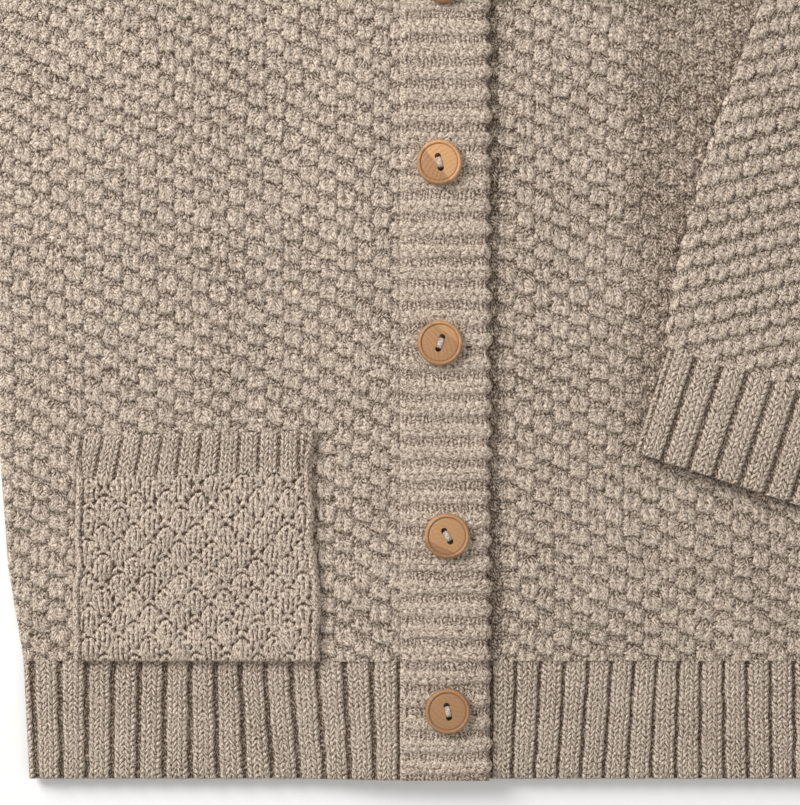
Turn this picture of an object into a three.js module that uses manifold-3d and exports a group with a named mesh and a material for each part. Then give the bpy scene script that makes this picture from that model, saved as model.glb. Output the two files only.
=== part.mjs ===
// Baby cardigan laid flat, all sizes in mm, +Z up, +Y towards the neck, wearer's right at -X.
// The origin is on the back panel's underside, on the centre line, half way up the body.
import * as THREE from 'three';
import Module from 'manifold-3d';
import { mergeVertices } from 'three/addons/utils/BufferGeometryUtils.js';

// Body sizes, with heights measured up from the hem's lower edge
const BODY_LENGTH = 326;
const ORIGIN_HEIGHT = 165;
const HEM_HEIGHT = 40;
const BAND_HALF_WIDTH = 15;
const BAND_TOP = 277;
const NECK_SEAM_LOW = 259;
const NECK_HALF_WIDTH = 50;
const BACK_NECK_DIP = 9;
const NECKBAND_HEIGHT = 17;
const UNDERARM = { x: 150, y: 195 };
const SHOULDER = { x: 117, y: 310 };
const SIDE_LINE = [
  { height: 0, half: 139 },
  { height: 40, half: 141 },
  { height: 70, half: 146 },
  { height: 110, half: 149 },
  { height: 195, half: 150 },
];

// Wall thicknesses, the space left at a seam, and the levels of the layers
const SEAM_GAP = 0.3;
const WALL = 3;
const FRONT_LEVEL = WALL + SEAM_GAP;
const BAND_WALL = 2.6;
const BAND_LEVEL = FRONT_LEVEL + BAND_WALL + SEAM_GAP;
const TOP_BAND_WALL = 2.8;
const EDGE_DROP = 2;
const EDGE_ROUND = 3;
const SWELL = 0.8;
const SWELL_FADE = 45;
const SWELL_WAVES = [
  { x: 31, height: 57, phase: 0.8 },
  { x: 53, height: -38, phase: 2.1 },
];
const LIFT_OUTER = 50;
const LIFT_INNER = 19;

// Ribs and ridges raised on the outer faces
const RIB_RISE = 1;
const RIGHT_HEM_RIB_PITCH = 8.7;
const LEFT_HEM_RIB_PITCH = 7.8;
const POCKET_RIB_PITCH = 6.9;
const NECKBAND_RIB_PITCH = 8.4;
const CUFF_RIBS = 17;
const RIDGE_PITCH = 7.45;
const RIDGE_RISE = 0.8;
const BAND_FLAT = 8.2;

// Pocket on the right front
const POCKET = { outer: -123.3, inner: -41.7, bottom: 40.6, seam: 101, topOuter: 114.5, topInner: 116.5 };
const POCKET_WALL = 2.2;
const BELL_WIDTH = 10.3;
const BELL_HEIGHT = 10.7;
const BELL_RISE = 0.7;
const POCKET_EDGE_DROP = 1.3;

// Sleeves, in a frame with `a` down the armhole seam and `b` out from it
const ARMHOLE_LENGTH = Math.hypot(UNDERARM.x - SHOULDER.x, SHOULDER.y - UNDERARM.y);
const SLEEVE_STACK = 6.3;
const SLEEVE_SLIT = 0.4;
const FOLD_START = 4;
const FOLD_RADIUS = 3.3;
const FOLD_CENTRE = 6.45;
const FOLD_END = FOLD_START + Math.PI * FOLD_RADIUS;
const SLEEVE_AXIS = { a: 0.829, b: 0.56 };
const SLEEVE_TOP_START = { a: 13, b: FOLD_END };
const SLEEVE_TOP_END = { a: 147.2, b: 107.2 };
const SLEEVE_TOP_BULGE = 9;
const SLEEVE_UNDER_START = { a: 141.1, b: FOLD_END };
const SLEEVE_UNDER_END = { a: 189.6, b: 44.4 };
const CUFF_INNER_END = { a: 178, b: 125.7 };
const CUFF_OUTER_END = { a: 218.2, b: 66.2 };
const CUFF_LENGTH = 36;

// Shapes across one rib or ridge: places as shares of its pitch, rises as shares of its height
const RIB_SHAPE = [
  { at: 0, rise: 0 },
  { at: 0.16, rise: 0.75 },
  { at: 0.5, rise: 1 },
  { at: 0.84, rise: 0.75 },
];
const BROAD_RIB = [{ at: 0, rise: 0 }, { at: 0.22, rise: 1 }, { at: 0.78, rise: 1 }];
const RIDGE_SHAPE = [{ at: 0, rise: 0 }, { at: 0.28, rise: 1 }, { at: 0.72, rise: 1 }];

// Rows of the front panels: heights at the band's edge and at the side, or degrees round the neck curve
const NECK_TURNS = [0, 25, 45, 60, 74, 82, 90];
const FRONT_ROWS = [
  { inner: HEM_HEIGHT + SEAM_GAP, outer: HEM_HEIGHT + SEAM_GAP },
  { inner: 62, outer: 62 },
  { inner: 84, outer: 84 },
  { inner: 106, outer: 106 },
  { inner: 128, outer: 128 },
  { inner: 150, outer: 150 },
  { inner: 178, outer: 173 },
  { inner: 205, outer: UNDERARM.y },
  { inner: 232, outer: 220 },
  { inner: NECK_SEAM_LOW, outer: 243 },
  { neck: NECK_TURNS[1], outer: 262 },
  { neck: NECK_TURNS[2], outer: 276 },
  { neck: NECK_TURNS[3], outer: 288 },
  { neck: NECK_TURNS[4], outer: 299 },
  { neck: NECK_TURNS[5], outer: 306.5 },
  { neck: NECK_TURNS[6], outer: SHOULDER.y },
];
const FRONT_COLUMNS = [0, 0.05, 0.12, 0.2, 0.3, 0.45, 0.62, 0.78, 0.9];
const EDGE_INSETS = [EDGE_ROUND, 1, 0.25, 0];
const SHOULDER_ROW_STEP = 1.5;
const SEAM_DROP_SHARE = 0.35;

// Rows of the hem ribs: `drop` rounds the edges, `fan` is how far the ribs lean by then
const HEM_ROWS = [
  { height: 0, drop: 1.8, fan: 0 },
  { height: 1.5, drop: 0.3, fan: 0.1 },
  { height: 14, drop: 0, fan: 0.4 },
  { height: 37, drop: 0.1, fan: 1 },
  { height: HEM_HEIGHT, drop: 0.6, fan: 1 },
];
const HEM_LEAN = 2.2;

// Rows and columns of the back, the columns as shares of its half width
const NECK_SHARE = NECK_HALF_WIDTH / SHOULDER.x;
const BACK_HEIGHTS = [HEM_HEIGHT + SEAM_GAP, 75, 110, 150, UNDERARM.y, 235, 270, 292, 303, SHOULDER.y];
const BACK_COLUMNS = [0, 0.14, 0.29, NECK_SHARE, 0.7, 1];
const BACK_HEM_COLUMNS = [-1, -0.6, -0.2, 0.2, 0.6, 1];
const BACK_EDGE_ROUND = 0.9;

// Rows of the pocket's ribbed top, as shares of its height
const POCKET_RIB_ROWS = [
  { share: 0, drop: 0.5 },
  { share: 0.12, drop: 0 },
  { share: 0.82, drop: 0 },
  { share: 0.95, drop: 0.6 },
  { share: 1, drop: 1.6 },
];

// Rings of the sleeves: shares of the turn round the fold, then shares of the way to the cuff
const FOLD_TURNS = [0, 0.18, 0.36, 0.5, 0.64, 0.82];
const SLEEVE_STATIONS = [0, 0.12, 0.26, 0.42, 0.58, 0.74, 0.88, 1];
const SLEEVE_ALONG = 5;
const SLEEVE_WALL = 2.6;

// Rings of the cuffs, with `drop` where an edge draws in
const CUFF_ROWS = [
  { along: SEAM_GAP, drop: 0.6 },
  { along: 2.5, drop: 0 },
  { along: 18, drop: 0 },
  { along: CUFF_LENGTH - 2, drop: 0 },
  { along: CUFF_LENGTH, drop: 1.2 },
];
const CUFF_WALL = 3.4;

// Neckband: degrees round its fold at the shoulders, and the way its height points along it
const NECK_FOLD_TURNS = [20, 55, 90, 125, 160];
const NECK_LEAN = { front: 90, shoulder: 30, fold: 58, back: 90 };
const NECK_RIB_RISE = 0.6;

// Buttons and buttonholes
const BUTTON_RADIUS = 7.5;
const BUTTON_THICKNESS = 3.1;
const BUTTON_HOLE_RADIUS = 0.95;
const BUTTON_HOLE_SPACING = 4;
const BUTTON_SIDES = 20;
const BUTTONS = [
  { x: -0.8, height: 265.7, turn: 8 },
  { x: -2.0, height: 205.3, turn: 14 },
  { x: -1.7, height: 145.5, turn: -19 },
  { x: 0.6, height: 81.6, turn: 30 },
  { x: 0.8, height: 23.6, turn: 12 },
];
const BUTTON_PROFILE = [
  { r: 0, z: 0 },
  { r: BUTTON_RADIUS - 0.9, z: 0 },
  { r: BUTTON_RADIUS, z: 0.9 },
  { r: BUTTON_RADIUS, z: 2.2 },
  { r: BUTTON_RADIUS - 0.6, z: BUTTON_THICKNESS - 0.1 },
  { r: BUTTON_RADIUS - 1.1, z: BUTTON_THICKNESS },
  { r: BUTTON_RADIUS - 1.9, z: BUTTON_THICKNESS - 0.7 },
  { r: 0, z: BUTTON_THICKNESS - 0.8 },
];
const BUTTON_HOLE_SIDES = 10;
const SLIT = { start: -2, end: 10.5, width: 1.5, drop: 1.2 };
const PRESSED = { nearUp: 9.5, farUp: 12, nearSide: 10, farSide: 13 };

// Distance within which doubled points are one
const MERGE_DISTANCE = 1e-4;

// Colours
const YARN = { color: 0xb9a58e, roughness: 0.95, metalness: 0 };
const WOOD = { color: 0xc48a58, roughness: 0.5, metalness: 0 };

const clamp = (value, low, high) => Math.min(high, Math.max(low, value));
const mix = (from, to, share) => from + (to - from) * share;
const mixAB = (from, to, share) => ({ a: mix(from.a, to.a, share), b: mix(from.b, to.b, share) });

function smooth(low, high, value) {
  const t = clamp((value - low) / (high - low), 0, 1);
  return t * t * (3 - 2 * t);
}

// Half width of the body at a height above the hem's edge, below the underarm
function sideHalf(height) {
  for (let i = 1; i < SIDE_LINE.length; i += 1) {
    const low = SIDE_LINE[i - 1];
    const high = SIDE_LINE[i];
    if (height <= high.height) {
      return mix(low.half, high.half, (height - low.height) / (high.height - low.height));
    }
  }
  return UNDERARM.x;
}

// Half width at any height: the side line, then the armhole seam up to the shoulder
function outerHalf(height) {
  if (height <= UNDERARM.y) return sideHalf(height);
  const share = (height - UNDERARM.y) / (SHOULDER.y - UNDERARM.y);
  return mix(UNDERARM.x, SHOULDER.x, share) - SEAM_GAP / 2;
}

// Slow swell of the laid front, zero at the sides and hem, so nothing sinks into the back
function swell(x, height) {
  const away = smooth(0, SWELL_FADE, outerHalf(Math.min(height, SHOULDER.y)) - Math.abs(x))
    * smooth(0, SWELL_FADE, height) * smooth(0, SWELL_FADE, BODY_LENGTH - height);
  const waves = SWELL_WAVES.map((wave) => Math.sin(x / wave.x + height / wave.height + wave.phase));
  return SWELL * away * (0.5 + 0.25 * (waves[0] + waves[1]));
}

// The right front climbs on to the button band beneath it
const lift = (x) => (BAND_LEVEL - FRONT_LEVEL) * smooth(-LIFT_OUTER, -LIFT_INNER, x);

// Underside of the front layer at a point of the body
const frontUnder = (x, height) => FRONT_LEVEL
  + swell(x, height) * smooth(BAND_HALF_WIDTH, 2 * BAND_HALF_WIDTH, Math.abs(x)) + (x < 0 ? lift(x) : 0);

// A closed body gathered from shared points
class Body {
  constructor() {
    this.points = [];
    this.faces = [];
  }

  add(x, height, z) {
    this.points.push(x, height - ORIGIN_HEIGHT, z);
    return this.points.length / 3 - 1;
  }

  tri(a, b, c) {
    this.faces.push(a, b, c);
  }

  quad(a, b, c, d) {
    this.tri(a, b, c);
    this.tri(a, c, d);
  }

  geometry() {
    const made = new THREE.BufferGeometry();
    made.setAttribute('position', new THREE.Float32BufferAttribute(this.points, 3));
    made.setIndex(this.faces);
    return made;
  }
}

// A cloth panel: rows of outer points with a plain underside. Points run with rising x, and
// rows with rising height.
// The underside keeps one row in `step`, with the first and last.
function panel(rows, underAt, step) {
  const body = new Body();
  const top = rows.map((row) => row.map((p) => body.add(p.x, p.height, p.z)));
  const last = rows.length - 1;
  const end = rows[0].length - 1;
  const kept = [];
  for (let j = 0; j < last; j += step) kept.push(j);
  kept.push(last);
  const under = kept.map((j) => rows[j].map((p) => body.add(p.x, p.height, underAt(p.x, p.height))));
  for (let j = 0; j < last; j += 1) {
    for (let i = 0; i < end; i += 1) body.quad(top[j][i], top[j][i + 1], top[j + 1][i + 1], top[j + 1][i]);
  }
  for (let k = 0; k < kept.length - 1; k += 1) {
    for (let i = 0; i < end; i += 1) {
      body.quad(under[k][i], under[k + 1][i], under[k + 1][i + 1], under[k][i + 1]);
    }
    const [low, high] = [kept[k], kept[k + 1]];
    for (let j = low; j < high; j += 1) {
      body.tri(under[k][0], top[j][0], top[j + 1][0]);
      body.tri(under[k][end], top[j + 1][end], top[j][end]);
    }
    body.tri(under[k][0], top[high][0], under[k + 1][0]);
    body.tri(under[k][end], under[k + 1][end], top[high][end]);
  }
  const back = kept.length - 1;
  for (let i = 0; i < end; i += 1) {
    body.quad(under[0][i], under[0][i + 1], top[0][i + 1], top[0][i]);
    body.quad(under[back][i + 1], under[back][i], top[last][i], top[last][i + 1]);
  }
  return body.geometry();
}

// A bar of closed sections, each with its points turning left seen along the bar; the ends are closed by fans
function bar(sections) {
  const body = new Body();
  const ids = sections.map((loop) => loop.map((p) => body.add(p.x, p.height, p.z)));
  const count = ids[0].length;
  const last = ids.length - 1;
  for (let j = 0; j < last; j += 1) {
    for (let i = 0; i < count; i += 1) {
      const n = (i + 1) % count;
      body.quad(ids[j][i], ids[j][n], ids[j + 1][n], ids[j + 1][i]);
    }
  }
  for (let i = 1; i < count - 1; i += 1) {
    body.tri(ids[0][0], ids[0][i + 1], ids[0][i]);
    body.tri(ids[last][0], ids[last][i], ids[last][i + 1]);
  }
  return body.geometry();
}

// A flattened tube of cloth from pairs of outer and inner rings
function tube(rings, flip) {
  const body = new Body();
  const put = (p) => body.add(p.x, p.height, p.z);
  const outer = rings.map((ring) => ring.outer.map(put));
  const inner = rings.map((ring) => ring.inner.map(put));
  const count = outer[0].length;
  const last = outer.length - 1;
  const quad = (a, b, c, d) => (flip ? body.quad(d, c, b, a) : body.quad(a, b, c, d));
  for (let i = 0; i < count; i += 1) {
    const n = (i + 1) % count;
    for (let j = 0; j < last; j += 1) {
      quad(outer[j][i], outer[j + 1][i], outer[j + 1][n], outer[j][n]);
      quad(inner[j][n], inner[j + 1][n], inner[j + 1][i], inner[j][i]);
    }
    quad(outer[0][i], outer[0][n], inner[0][n], inner[0][i]);
    quad(outer[last][n], outer[last][i], inner[last][i], inner[last][n]);
  }
  return body.geometry();
}

// Places across a ribbed width with the rise at each
function ribSteps(from, to, pitch) {
  const ribs = Math.max(1, Math.round(Math.abs(to - from) / pitch));
  const steps = [];
  for (let rib = 0; rib < ribs; rib += 1) {
    for (const step of RIB_SHAPE) {
      steps.push({ at: mix(from, to, (rib + step.at) / ribs), rise: step.rise });
    }
  }
  steps.push({ at: to, rise: 0 });
  return steps;
}

// Drop of a panel's face near a free edge, from the distance to the edge
const edgeDrop = (inset) => EDGE_DROP * (1 - Math.sqrt(1 - (1 - clamp(inset / EDGE_ROUND, 0, 1)) ** 2));

function neckPoint(turn) {
  const angle = THREE.MathUtils.degToRad(turn);
  const edge = BAND_HALF_WIDTH + SEAM_GAP;
  return {
    x: edge + (NECK_HALF_WIDTH - edge) * Math.sin(angle),
    height: BODY_LENGTH - (BODY_LENGTH - NECK_SEAM_LOW) * Math.cos(angle),
  };
}

function frontPanel(side) {
  const rows = FRONT_ROWS.map((row, j) => {
    const inner = row.neck === undefined
      ? { x: BAND_HALF_WIDTH + SEAM_GAP, height: row.inner } : neckPoint(row.neck);
    const outer = { x: outerHalf(row.outer), height: row.outer };
    const length = Math.hypot(outer.x - inner.x, outer.height - inner.height);
    const shares = FRONT_COLUMNS.concat(EDGE_INSETS.map((inset) => 1 - inset / length));
    const shoulderDrop = edgeDrop((FRONT_ROWS.length - 1 - j) * SHOULDER_ROW_STEP);
    const points = shares.map((share) => {
      const x = side * mix(inner.x, outer.x, share);
      const height = mix(inner.height, outer.height, share);
      const seamed = row.outer > UNDERARM.y ? SEAM_DROP_SHARE : 1;
      const drop = Math.max(seamed * edgeDrop((1 - share) * length), shoulderDrop);
      return { x, height, z: frontUnder(x, height) + WALL - drop };
    });
    return side < 0 ? points.reverse() : points;
  });
  return panel(rows, frontUnder, 1);
}

function hemRib(side, pitch) {
  const steps = ribSteps(0, 1, pitch / (sideHalf(HEM_HEIGHT / 2) - BAND_HALF_WIDTH));
  const rows = HEM_ROWS.map((row) => {
    const from = BAND_HALF_WIDTH + SEAM_GAP;
    const to = sideHalf(row.height);
    const points = steps.map((step) => {
      const lean = HEM_LEAN * Math.sin(2 * Math.PI * step.at) * (row.fan - 0.5);
      const x = side * (mix(from, to, step.at) + lean);
      const inset = (1 - step.at) * (to - from);
      const rise = RIB_RISE * (step.rise - 1);
      const z = FRONT_LEVEL + WALL + rise - Math.max(row.drop, edgeDrop(inset));
      return { x, height: row.height, z: z + (side < 0 ? lift(x) : 0) };
    });
    return side < 0 ? points.reverse() : points;
  });
  return panel(rows, (x) => FRONT_LEVEL + (side < 0 ? lift(x) : 0), rows.length);
}

// Top edge of the back: shoulders rising to the neck, then the shallow back neck
function backTop(x) {
  const far = Math.abs(x);
  if (far >= NECK_HALF_WIDTH) {
    const share = (far - NECK_HALF_WIDTH) / (SHOULDER.x - NECK_HALF_WIDTH);
    return mix(BODY_LENGTH, SHOULDER.y, clamp(share, 0, 1));
  }
  return BODY_LENGTH - BACK_NECK_DIP * Math.cos((far / NECK_HALF_WIDTH) * Math.PI / 2);
}

// A flat piece of the back layer: flat at z = 0, with the lower rim of each free edge rounded
function backPiece(rowPoints) {
  const body = new Body();
  const top = rowPoints.map((row) => row.map((p) => body.add(p.x, p.height, WALL)));
  const mid = rowPoints.map((row) => row.map((p) => [p.x, p.height]));
  const last = rowPoints.length - 1;
  const end = rowPoints[0].length - 1;
  const under = mid.map((row, j) => row.map(([x, height], i) => {
    const inX = i === 0 ? BACK_EDGE_ROUND : (i === end ? -BACK_EDGE_ROUND : 0);
    const inY = j === 0 ? BACK_EDGE_ROUND : (j === last ? -BACK_EDGE_ROUND : 0);
    return body.add(x + inX, height + inY, 0);
  }));
  const rim = new Map();
  const rimAt = (j, i) => {
    const key = j * (end + 1) + i;
    if (!rim.has(key)) rim.set(key, body.add(mid[j][i][0], mid[j][i][1], BACK_EDGE_ROUND));
    return rim.get(key);
  };
  for (let j = 0; j < last; j += 1) {
    for (let i = 0; i < end; i += 1) {
      body.quad(top[j][i], top[j][i + 1], top[j + 1][i + 1], top[j + 1][i]);
      body.quad(under[j][i], under[j + 1][i], under[j + 1][i + 1], under[j][i + 1]);
    }
    body.quad(top[j][0], top[j + 1][0], rimAt(j + 1, 0), rimAt(j, 0));
    body.quad(rimAt(j, 0), rimAt(j + 1, 0), under[j + 1][0], under[j][0]);
    body.quad(top[j + 1][end], top[j][end], rimAt(j, end), rimAt(j + 1, end));
    body.quad(rimAt(j + 1, end), rimAt(j, end), under[j][end], under[j + 1][end]);
  }
  for (let i = 0; i < end; i += 1) {
    body.quad(top[0][i + 1], top[0][i], rimAt(0, i), rimAt(0, i + 1));
    body.quad(rimAt(0, i + 1), rimAt(0, i), under[0][i], under[0][i + 1]);
    body.quad(top[last][i], top[last][i + 1], rimAt(last, i + 1), rimAt(last, i));
    body.quad(rimAt(last, i), rimAt(last, i + 1), under[last][i + 1], under[last][i]);
  }
  return body.geometry();
}

function backPanel() {
  const columns = BACK_COLUMNS.slice(1).reverse().map((share) => -share).concat(BACK_COLUMNS);
  return backPiece(BACK_HEIGHTS.map((height, j) => columns.map((share) => {
    const x = share * outerHalf(height);
    const underarmRow = BACK_HEIGHTS.indexOf(UNDERARM.y);
    const grow = smooth(underarmRow, BACK_HEIGHTS.length - 1, j);
    return { x, height: height + grow * (backTop(share * SHOULDER.x) - SHOULDER.y) };
  })));
}

function backHem() {
  return backPiece([0, HEM_HEIGHT / 2, HEM_HEIGHT].map((height) => (
    BACK_HEM_COLUMNS.map((share) => ({ x: share * sideHalf(height), height })))));
}

// Share of the ridges' rise at a point of the band: the buttons press them flat
const ridgeShare = (x, height) => Math.min(...BUTTONS.map((b) => (
  Math.max(smooth(PRESSED.nearUp, PRESSED.farUp, Math.abs(b.height - height)),
    smooth(PRESSED.nearSide, PRESSED.farSide, Math.abs(b.x - x))))));

// One band: sections across it, one after another up the front
function band(from, to, level, wall, rise) {
  const ridges = rise ? Math.round(BAND_TOP / RIDGE_PITCH) : 12;
  const shape = rise ? RIDGE_SHAPE : RIDGE_SHAPE.slice(0, 1);
  const sections = [];
  const push = (height, ridge, end) => {
    const point = (x, z) => ({ x, height, z });
    const raised = (x, edge) => level + wall - end - edge
      + rise * ridge * ridgeShare(x, height);
    sections.push([
      point(from, level), point(from, raised(from, 1)), point(from + 3, raised(from + 3, 0)),
      point(-BAND_FLAT, raised(-BAND_FLAT, 0)), point(BAND_FLAT, raised(BAND_FLAT, 0)),
      point(to - 3, raised(to - 3, 0)), point(to, raised(to, 1.2)), point(to, level),
    ]);
  };
  for (let k = 0; k < ridges; k += 1) {
    for (const step of shape) push((BAND_TOP * (k + step.at)) / ridges, step.rise, k || step.at ? 0 : 1);
  }
  push(BAND_TOP, 0, 1);
  return bar(sections);
}

// Pocket pieces follow the front beneath them
const pocketUnder = (x, height) => frontUnder(x, height) + WALL + SEAM_GAP;
const pocketSkew = (x, height) => mix(POCKET.topOuter, POCKET.topInner,
  (x - POCKET.outer) / (POCKET.inner - POCKET.outer)) * height;

function pocketPanel() {
  const across = Math.round((POCKET.inner - POCKET.outer) / BELL_WIDTH) * 2;
  const up = Math.round((POCKET.seam - POCKET.bottom) / BELL_HEIGHT) * 4;
  const rows = [];
  for (let j = 0; j <= up; j += 1) {
    const row = [];
    for (let i = 0; i <= across; i += 1) {
      const x = mix(POCKET.outer, POCKET.inner, i / across);
      const top = POCKET.seam + pocketSkew(x, 1) - POCKET.topOuter;
      const height = mix(POCKET.bottom, top, j / up);
      const bell = 0.5 + 0.5 * Math.cos(Math.PI * i) * Math.cos((Math.PI * j) / 2);
      const border = i === 0 || i === across || j === 0;
      const rise = border ? -POCKET_EDGE_DROP : BELL_RISE * bell;
      row.push({ x, height, z: pocketUnder(x, height) + POCKET_WALL + rise });
    }
    rows.push(row);
  }
  return panel(rows, pocketUnder, 6);
}

function pocketRib() {
  const steps = ribSteps(POCKET.outer, POCKET.inner, POCKET_RIB_PITCH);
  const rows = POCKET_RIB_ROWS.map((row) => steps.map((step) => {
    const tilt = pocketSkew(step.at, 1) - POCKET.topOuter;
    const height = mix(POCKET.seam + SEAM_GAP, POCKET.topOuter, row.share) + tilt;
    const edge = Math.min(step.at - POCKET.outer, POCKET.inner - step.at);
    const z = pocketUnder(step.at, height) + POCKET_WALL + 0.6 + 0.9 * (step.rise - 1);
    return { x: step.at, height, z: z - Math.max(row.drop, 0.5 * edgeDrop(edge)) };
  }));
  return panel(rows, pocketUnder, rows.length);
}

// From the sleeve's flat frame to the garment, laid out or folded over the front
const SEAM_DOWN = {
  x: (UNDERARM.x - SHOULDER.x) / ARMHOLE_LENGTH,
  y: (UNDERARM.y - SHOULDER.y) / ARMHOLE_LENGTH,
};

function placeSleeve(a, b, h, side, folded) {
  let out = b;
  let z = h;
  if (folded) {
    const radius = FOLD_CENTRE - h;
    const turn = clamp((b - FOLD_START) / FOLD_RADIUS, 0, Math.PI);
    out = Math.min(b, FOLD_START) + radius * Math.sin(turn) - Math.max(0, b - FOLD_END);
    z = FOLD_CENTRE - radius * Math.cos(turn);
  }
  const x = SHOULDER.x + a * SEAM_DOWN.x - out * SEAM_DOWN.y;
  const height = SHOULDER.y + a * SEAM_DOWN.y + out * SEAM_DOWN.x;
  if (folded && b > FOLD_END) z += swell(x, height) * smooth(FOLD_END, FOLD_END + 12, b);
  return { x: side * x, height, z };
}

// A flat loop of points round a width: low side out, round the far end, high side back, round the near end
function flatLoop(low, high, near, far, along) {
  const radius = (high - low) / 2;
  const middle = (high + low) / 2;
  const loop = [];
  for (let i = 0; i <= along; i += 1) {
    loop.push({ at: mix(near + radius, far - radius, i / along), h: low });
  }
  loop.push({ at: far - 0.3 * radius, h: middle - 0.7 * radius });
  loop.push({ at: far, h: middle });
  loop.push({ at: far - 0.3 * radius, h: middle + 0.7 * radius });
  for (let i = along; i >= 0; i -= 1) {
    loop.push({ at: mix(near + radius, far - radius, i / along), h: high });
  }
  loop.push({ at: near + 0.3 * radius, h: middle + 0.7 * radius });
  loop.push({ at: near, h: middle });
  loop.push({ at: near + 0.3 * radius, h: middle - 0.7 * radius });
  return loop;
}

function sleeveEnds() {
  const foldStations = FOLD_TURNS.map((share) => mix(FOLD_START, FOLD_END, share));
  const ends = [SEAM_GAP / 2, ...foldStations].map((b) => ({
    top: { a: (SLEEVE_TOP_START.a * b) / FOLD_END, b },
    under: { a: mix(ARMHOLE_LENGTH, SLEEVE_UNDER_START.a, b / FOLD_END), b },
  }));
  for (const share of SLEEVE_STATIONS) {
    const top = mixAB(SLEEVE_TOP_START, SLEEVE_TOP_END, share);
    top.b += SLEEVE_TOP_BULGE * 4 * share * (1 - share);
    ends.push({ top, under: mixAB(SLEEVE_UNDER_START, SLEEVE_UNDER_END, share) });
  }
  return ends;
}

function ringAt(top, under, loop, side, folded) {
  const width = Math.hypot(under.a - top.a, under.b - top.b);
  return loop(width).map((p) => {
    const spot = mixAB(top, under, p.at / width);
    return placeSleeve(spot.a, spot.b, p.h, side, folded);
  });
}

function sleeve(side, folded) {
  const slitLow = (SLEEVE_STACK - SLEEVE_SLIT) / 2;
  const slitHigh = slitLow + SLEEVE_SLIT;
  const rings = sleeveEnds().map(({ top, under }) => ({
    outer: ringAt(top, under, (width) => (
      flatLoop(0, SLEEVE_STACK, 0, width, SLEEVE_ALONG)), side, folded),
    inner: ringAt(top, under, (width) => (
      flatLoop(slitLow, slitHigh, SLEEVE_WALL, width - SLEEVE_WALL, SLEEVE_ALONG)), side, folded),
  }));
  return tube(rings, side < 0);
}

// A point on the outline of a flat ring at a share of its length, with its outward direction
function ringSpot(share, width, low, high) {
  const radius = (high - low) / 2;
  const straight = width - 2 * radius;
  const round = Math.PI * radius;
  let left = share * 2 * (straight + round);
  const middle = (low + high) / 2;
  if (left < straight) return { at: radius + left, h: low, outAt: 0, outH: -1 };
  left -= straight;
  if (left < round) {
    const turn = left / radius - Math.PI / 2;
    return { at: width - radius + radius * Math.cos(turn), h: middle + radius * Math.sin(turn),
      outAt: Math.cos(turn), outH: Math.sin(turn) };
  }
  left -= round;
  if (left < straight) return { at: width - radius - left, h: high, outAt: 0, outH: 1 };
  const turn = (left - straight) / radius + Math.PI / 2;
  return { at: radius + radius * Math.cos(turn), h: middle + radius * Math.sin(turn),
    outAt: Math.cos(turn), outH: Math.sin(turn) };
}

function cuff(side, folded) {
  const rings = CUFF_ROWS.map((row) => {
    const back = CUFF_LENGTH - row.along;
    const top = { a: CUFF_INNER_END.a - back * SLEEVE_AXIS.a, b: CUFF_INNER_END.b - back * SLEEVE_AXIS.b };
    const under = { a: CUFF_OUTER_END.a - back * SLEEVE_AXIS.a, b: CUFF_OUTER_END.b - back * SLEEVE_AXIS.b };
    const loop = (inset, base, rise) => (width) => {
      const spots = [];
      for (let rib = 0; rib < CUFF_RIBS; rib += 1) {
        for (const step of BROAD_RIB) {
          const spot = ringSpot((rib + step.at) / CUFF_RIBS, width - 2 * inset, base, SLEEVE_STACK - base);
          const resting = !folded && rise > 0 && spot.outH < -0.5;
          const grow = resting ? base : rise * step.rise;
          spots.push({ at: inset + spot.at + grow * spot.outAt, h: spot.h + grow * spot.outH });
        }
      }
      return spots;
    };
    const slitLow = (SLEEVE_STACK - SLEEVE_SLIT) / 2;
    return {
      outer: ringAt(top, under, loop(1 + row.drop, RIB_RISE + row.drop / 2, RIB_RISE), side, folded),
      inner: ringAt(top, under, loop(CUFF_WALL, slitLow, 0), side, folded),
    };
  });
  return tube(rings, side < 0);
}

// Neckband: one ribbed bar from the front edge round the back neck to the other front edge
function neckPath() {
  const path = [];
  for (const turn of NECK_TURNS) {
    const seam = neckPoint(turn);
    path.push({
      x: -seam.x, height: seam.height, turn: 0,
      lean: THREE.MathUtils.degToRad(mix(NECK_LEAN.front, NECK_LEAN.shoulder, turn / 90)),
      level: BAND_WALL / 2 + SEAM_GAP / 2 + frontUnder(-seam.x, seam.height),
    });
  }
  const radius = (FRONT_LEVEL + SEAM_GAP / 2) / 2;
  for (const turn of NECK_FOLD_TURNS) {
    const angle = THREE.MathUtils.degToRad(turn);
    path.push({
      x: -NECK_HALF_WIDTH - radius * Math.sin(angle), height: BODY_LENGTH + 0.5 + turn / 400,
      level: BAND_WALL / 2 + radius + radius * Math.cos(angle), turn: angle,
      lean: THREE.MathUtils.degToRad(mix(NECK_LEAN.shoulder, NECK_LEAN.fold, turn / 180)),
    });
  }
  for (const share of [BACK_COLUMNS[3], BACK_COLUMNS[2], BACK_COLUMNS[1]]) {
    const x = -share * SHOULDER.x;
    path.push({ x, height: backTop(x) + SEAM_GAP / 3, level: BAND_WALL / 2, turn: Math.PI,
      lean: THREE.MathUtils.degToRad(mix(NECK_LEAN.back, NECK_LEAN.fold, share / NECK_SHARE)) });
  }
  const mirrored = path.slice().reverse().map((p) => ({
    ...p, x: -p.x, turn: -p.turn, lean: Math.PI - p.lean,
    level: p.turn ? p.level : BAND_WALL / 2 + SEAM_GAP / 2 + frontUnder(-p.x, p.height),
  }));
  path.push({ x: 0, height: backTop(0), level: BAND_WALL / 2, turn: Math.PI, lean: Math.PI / 2 });
  return path.concat(mirrored);
}

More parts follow.
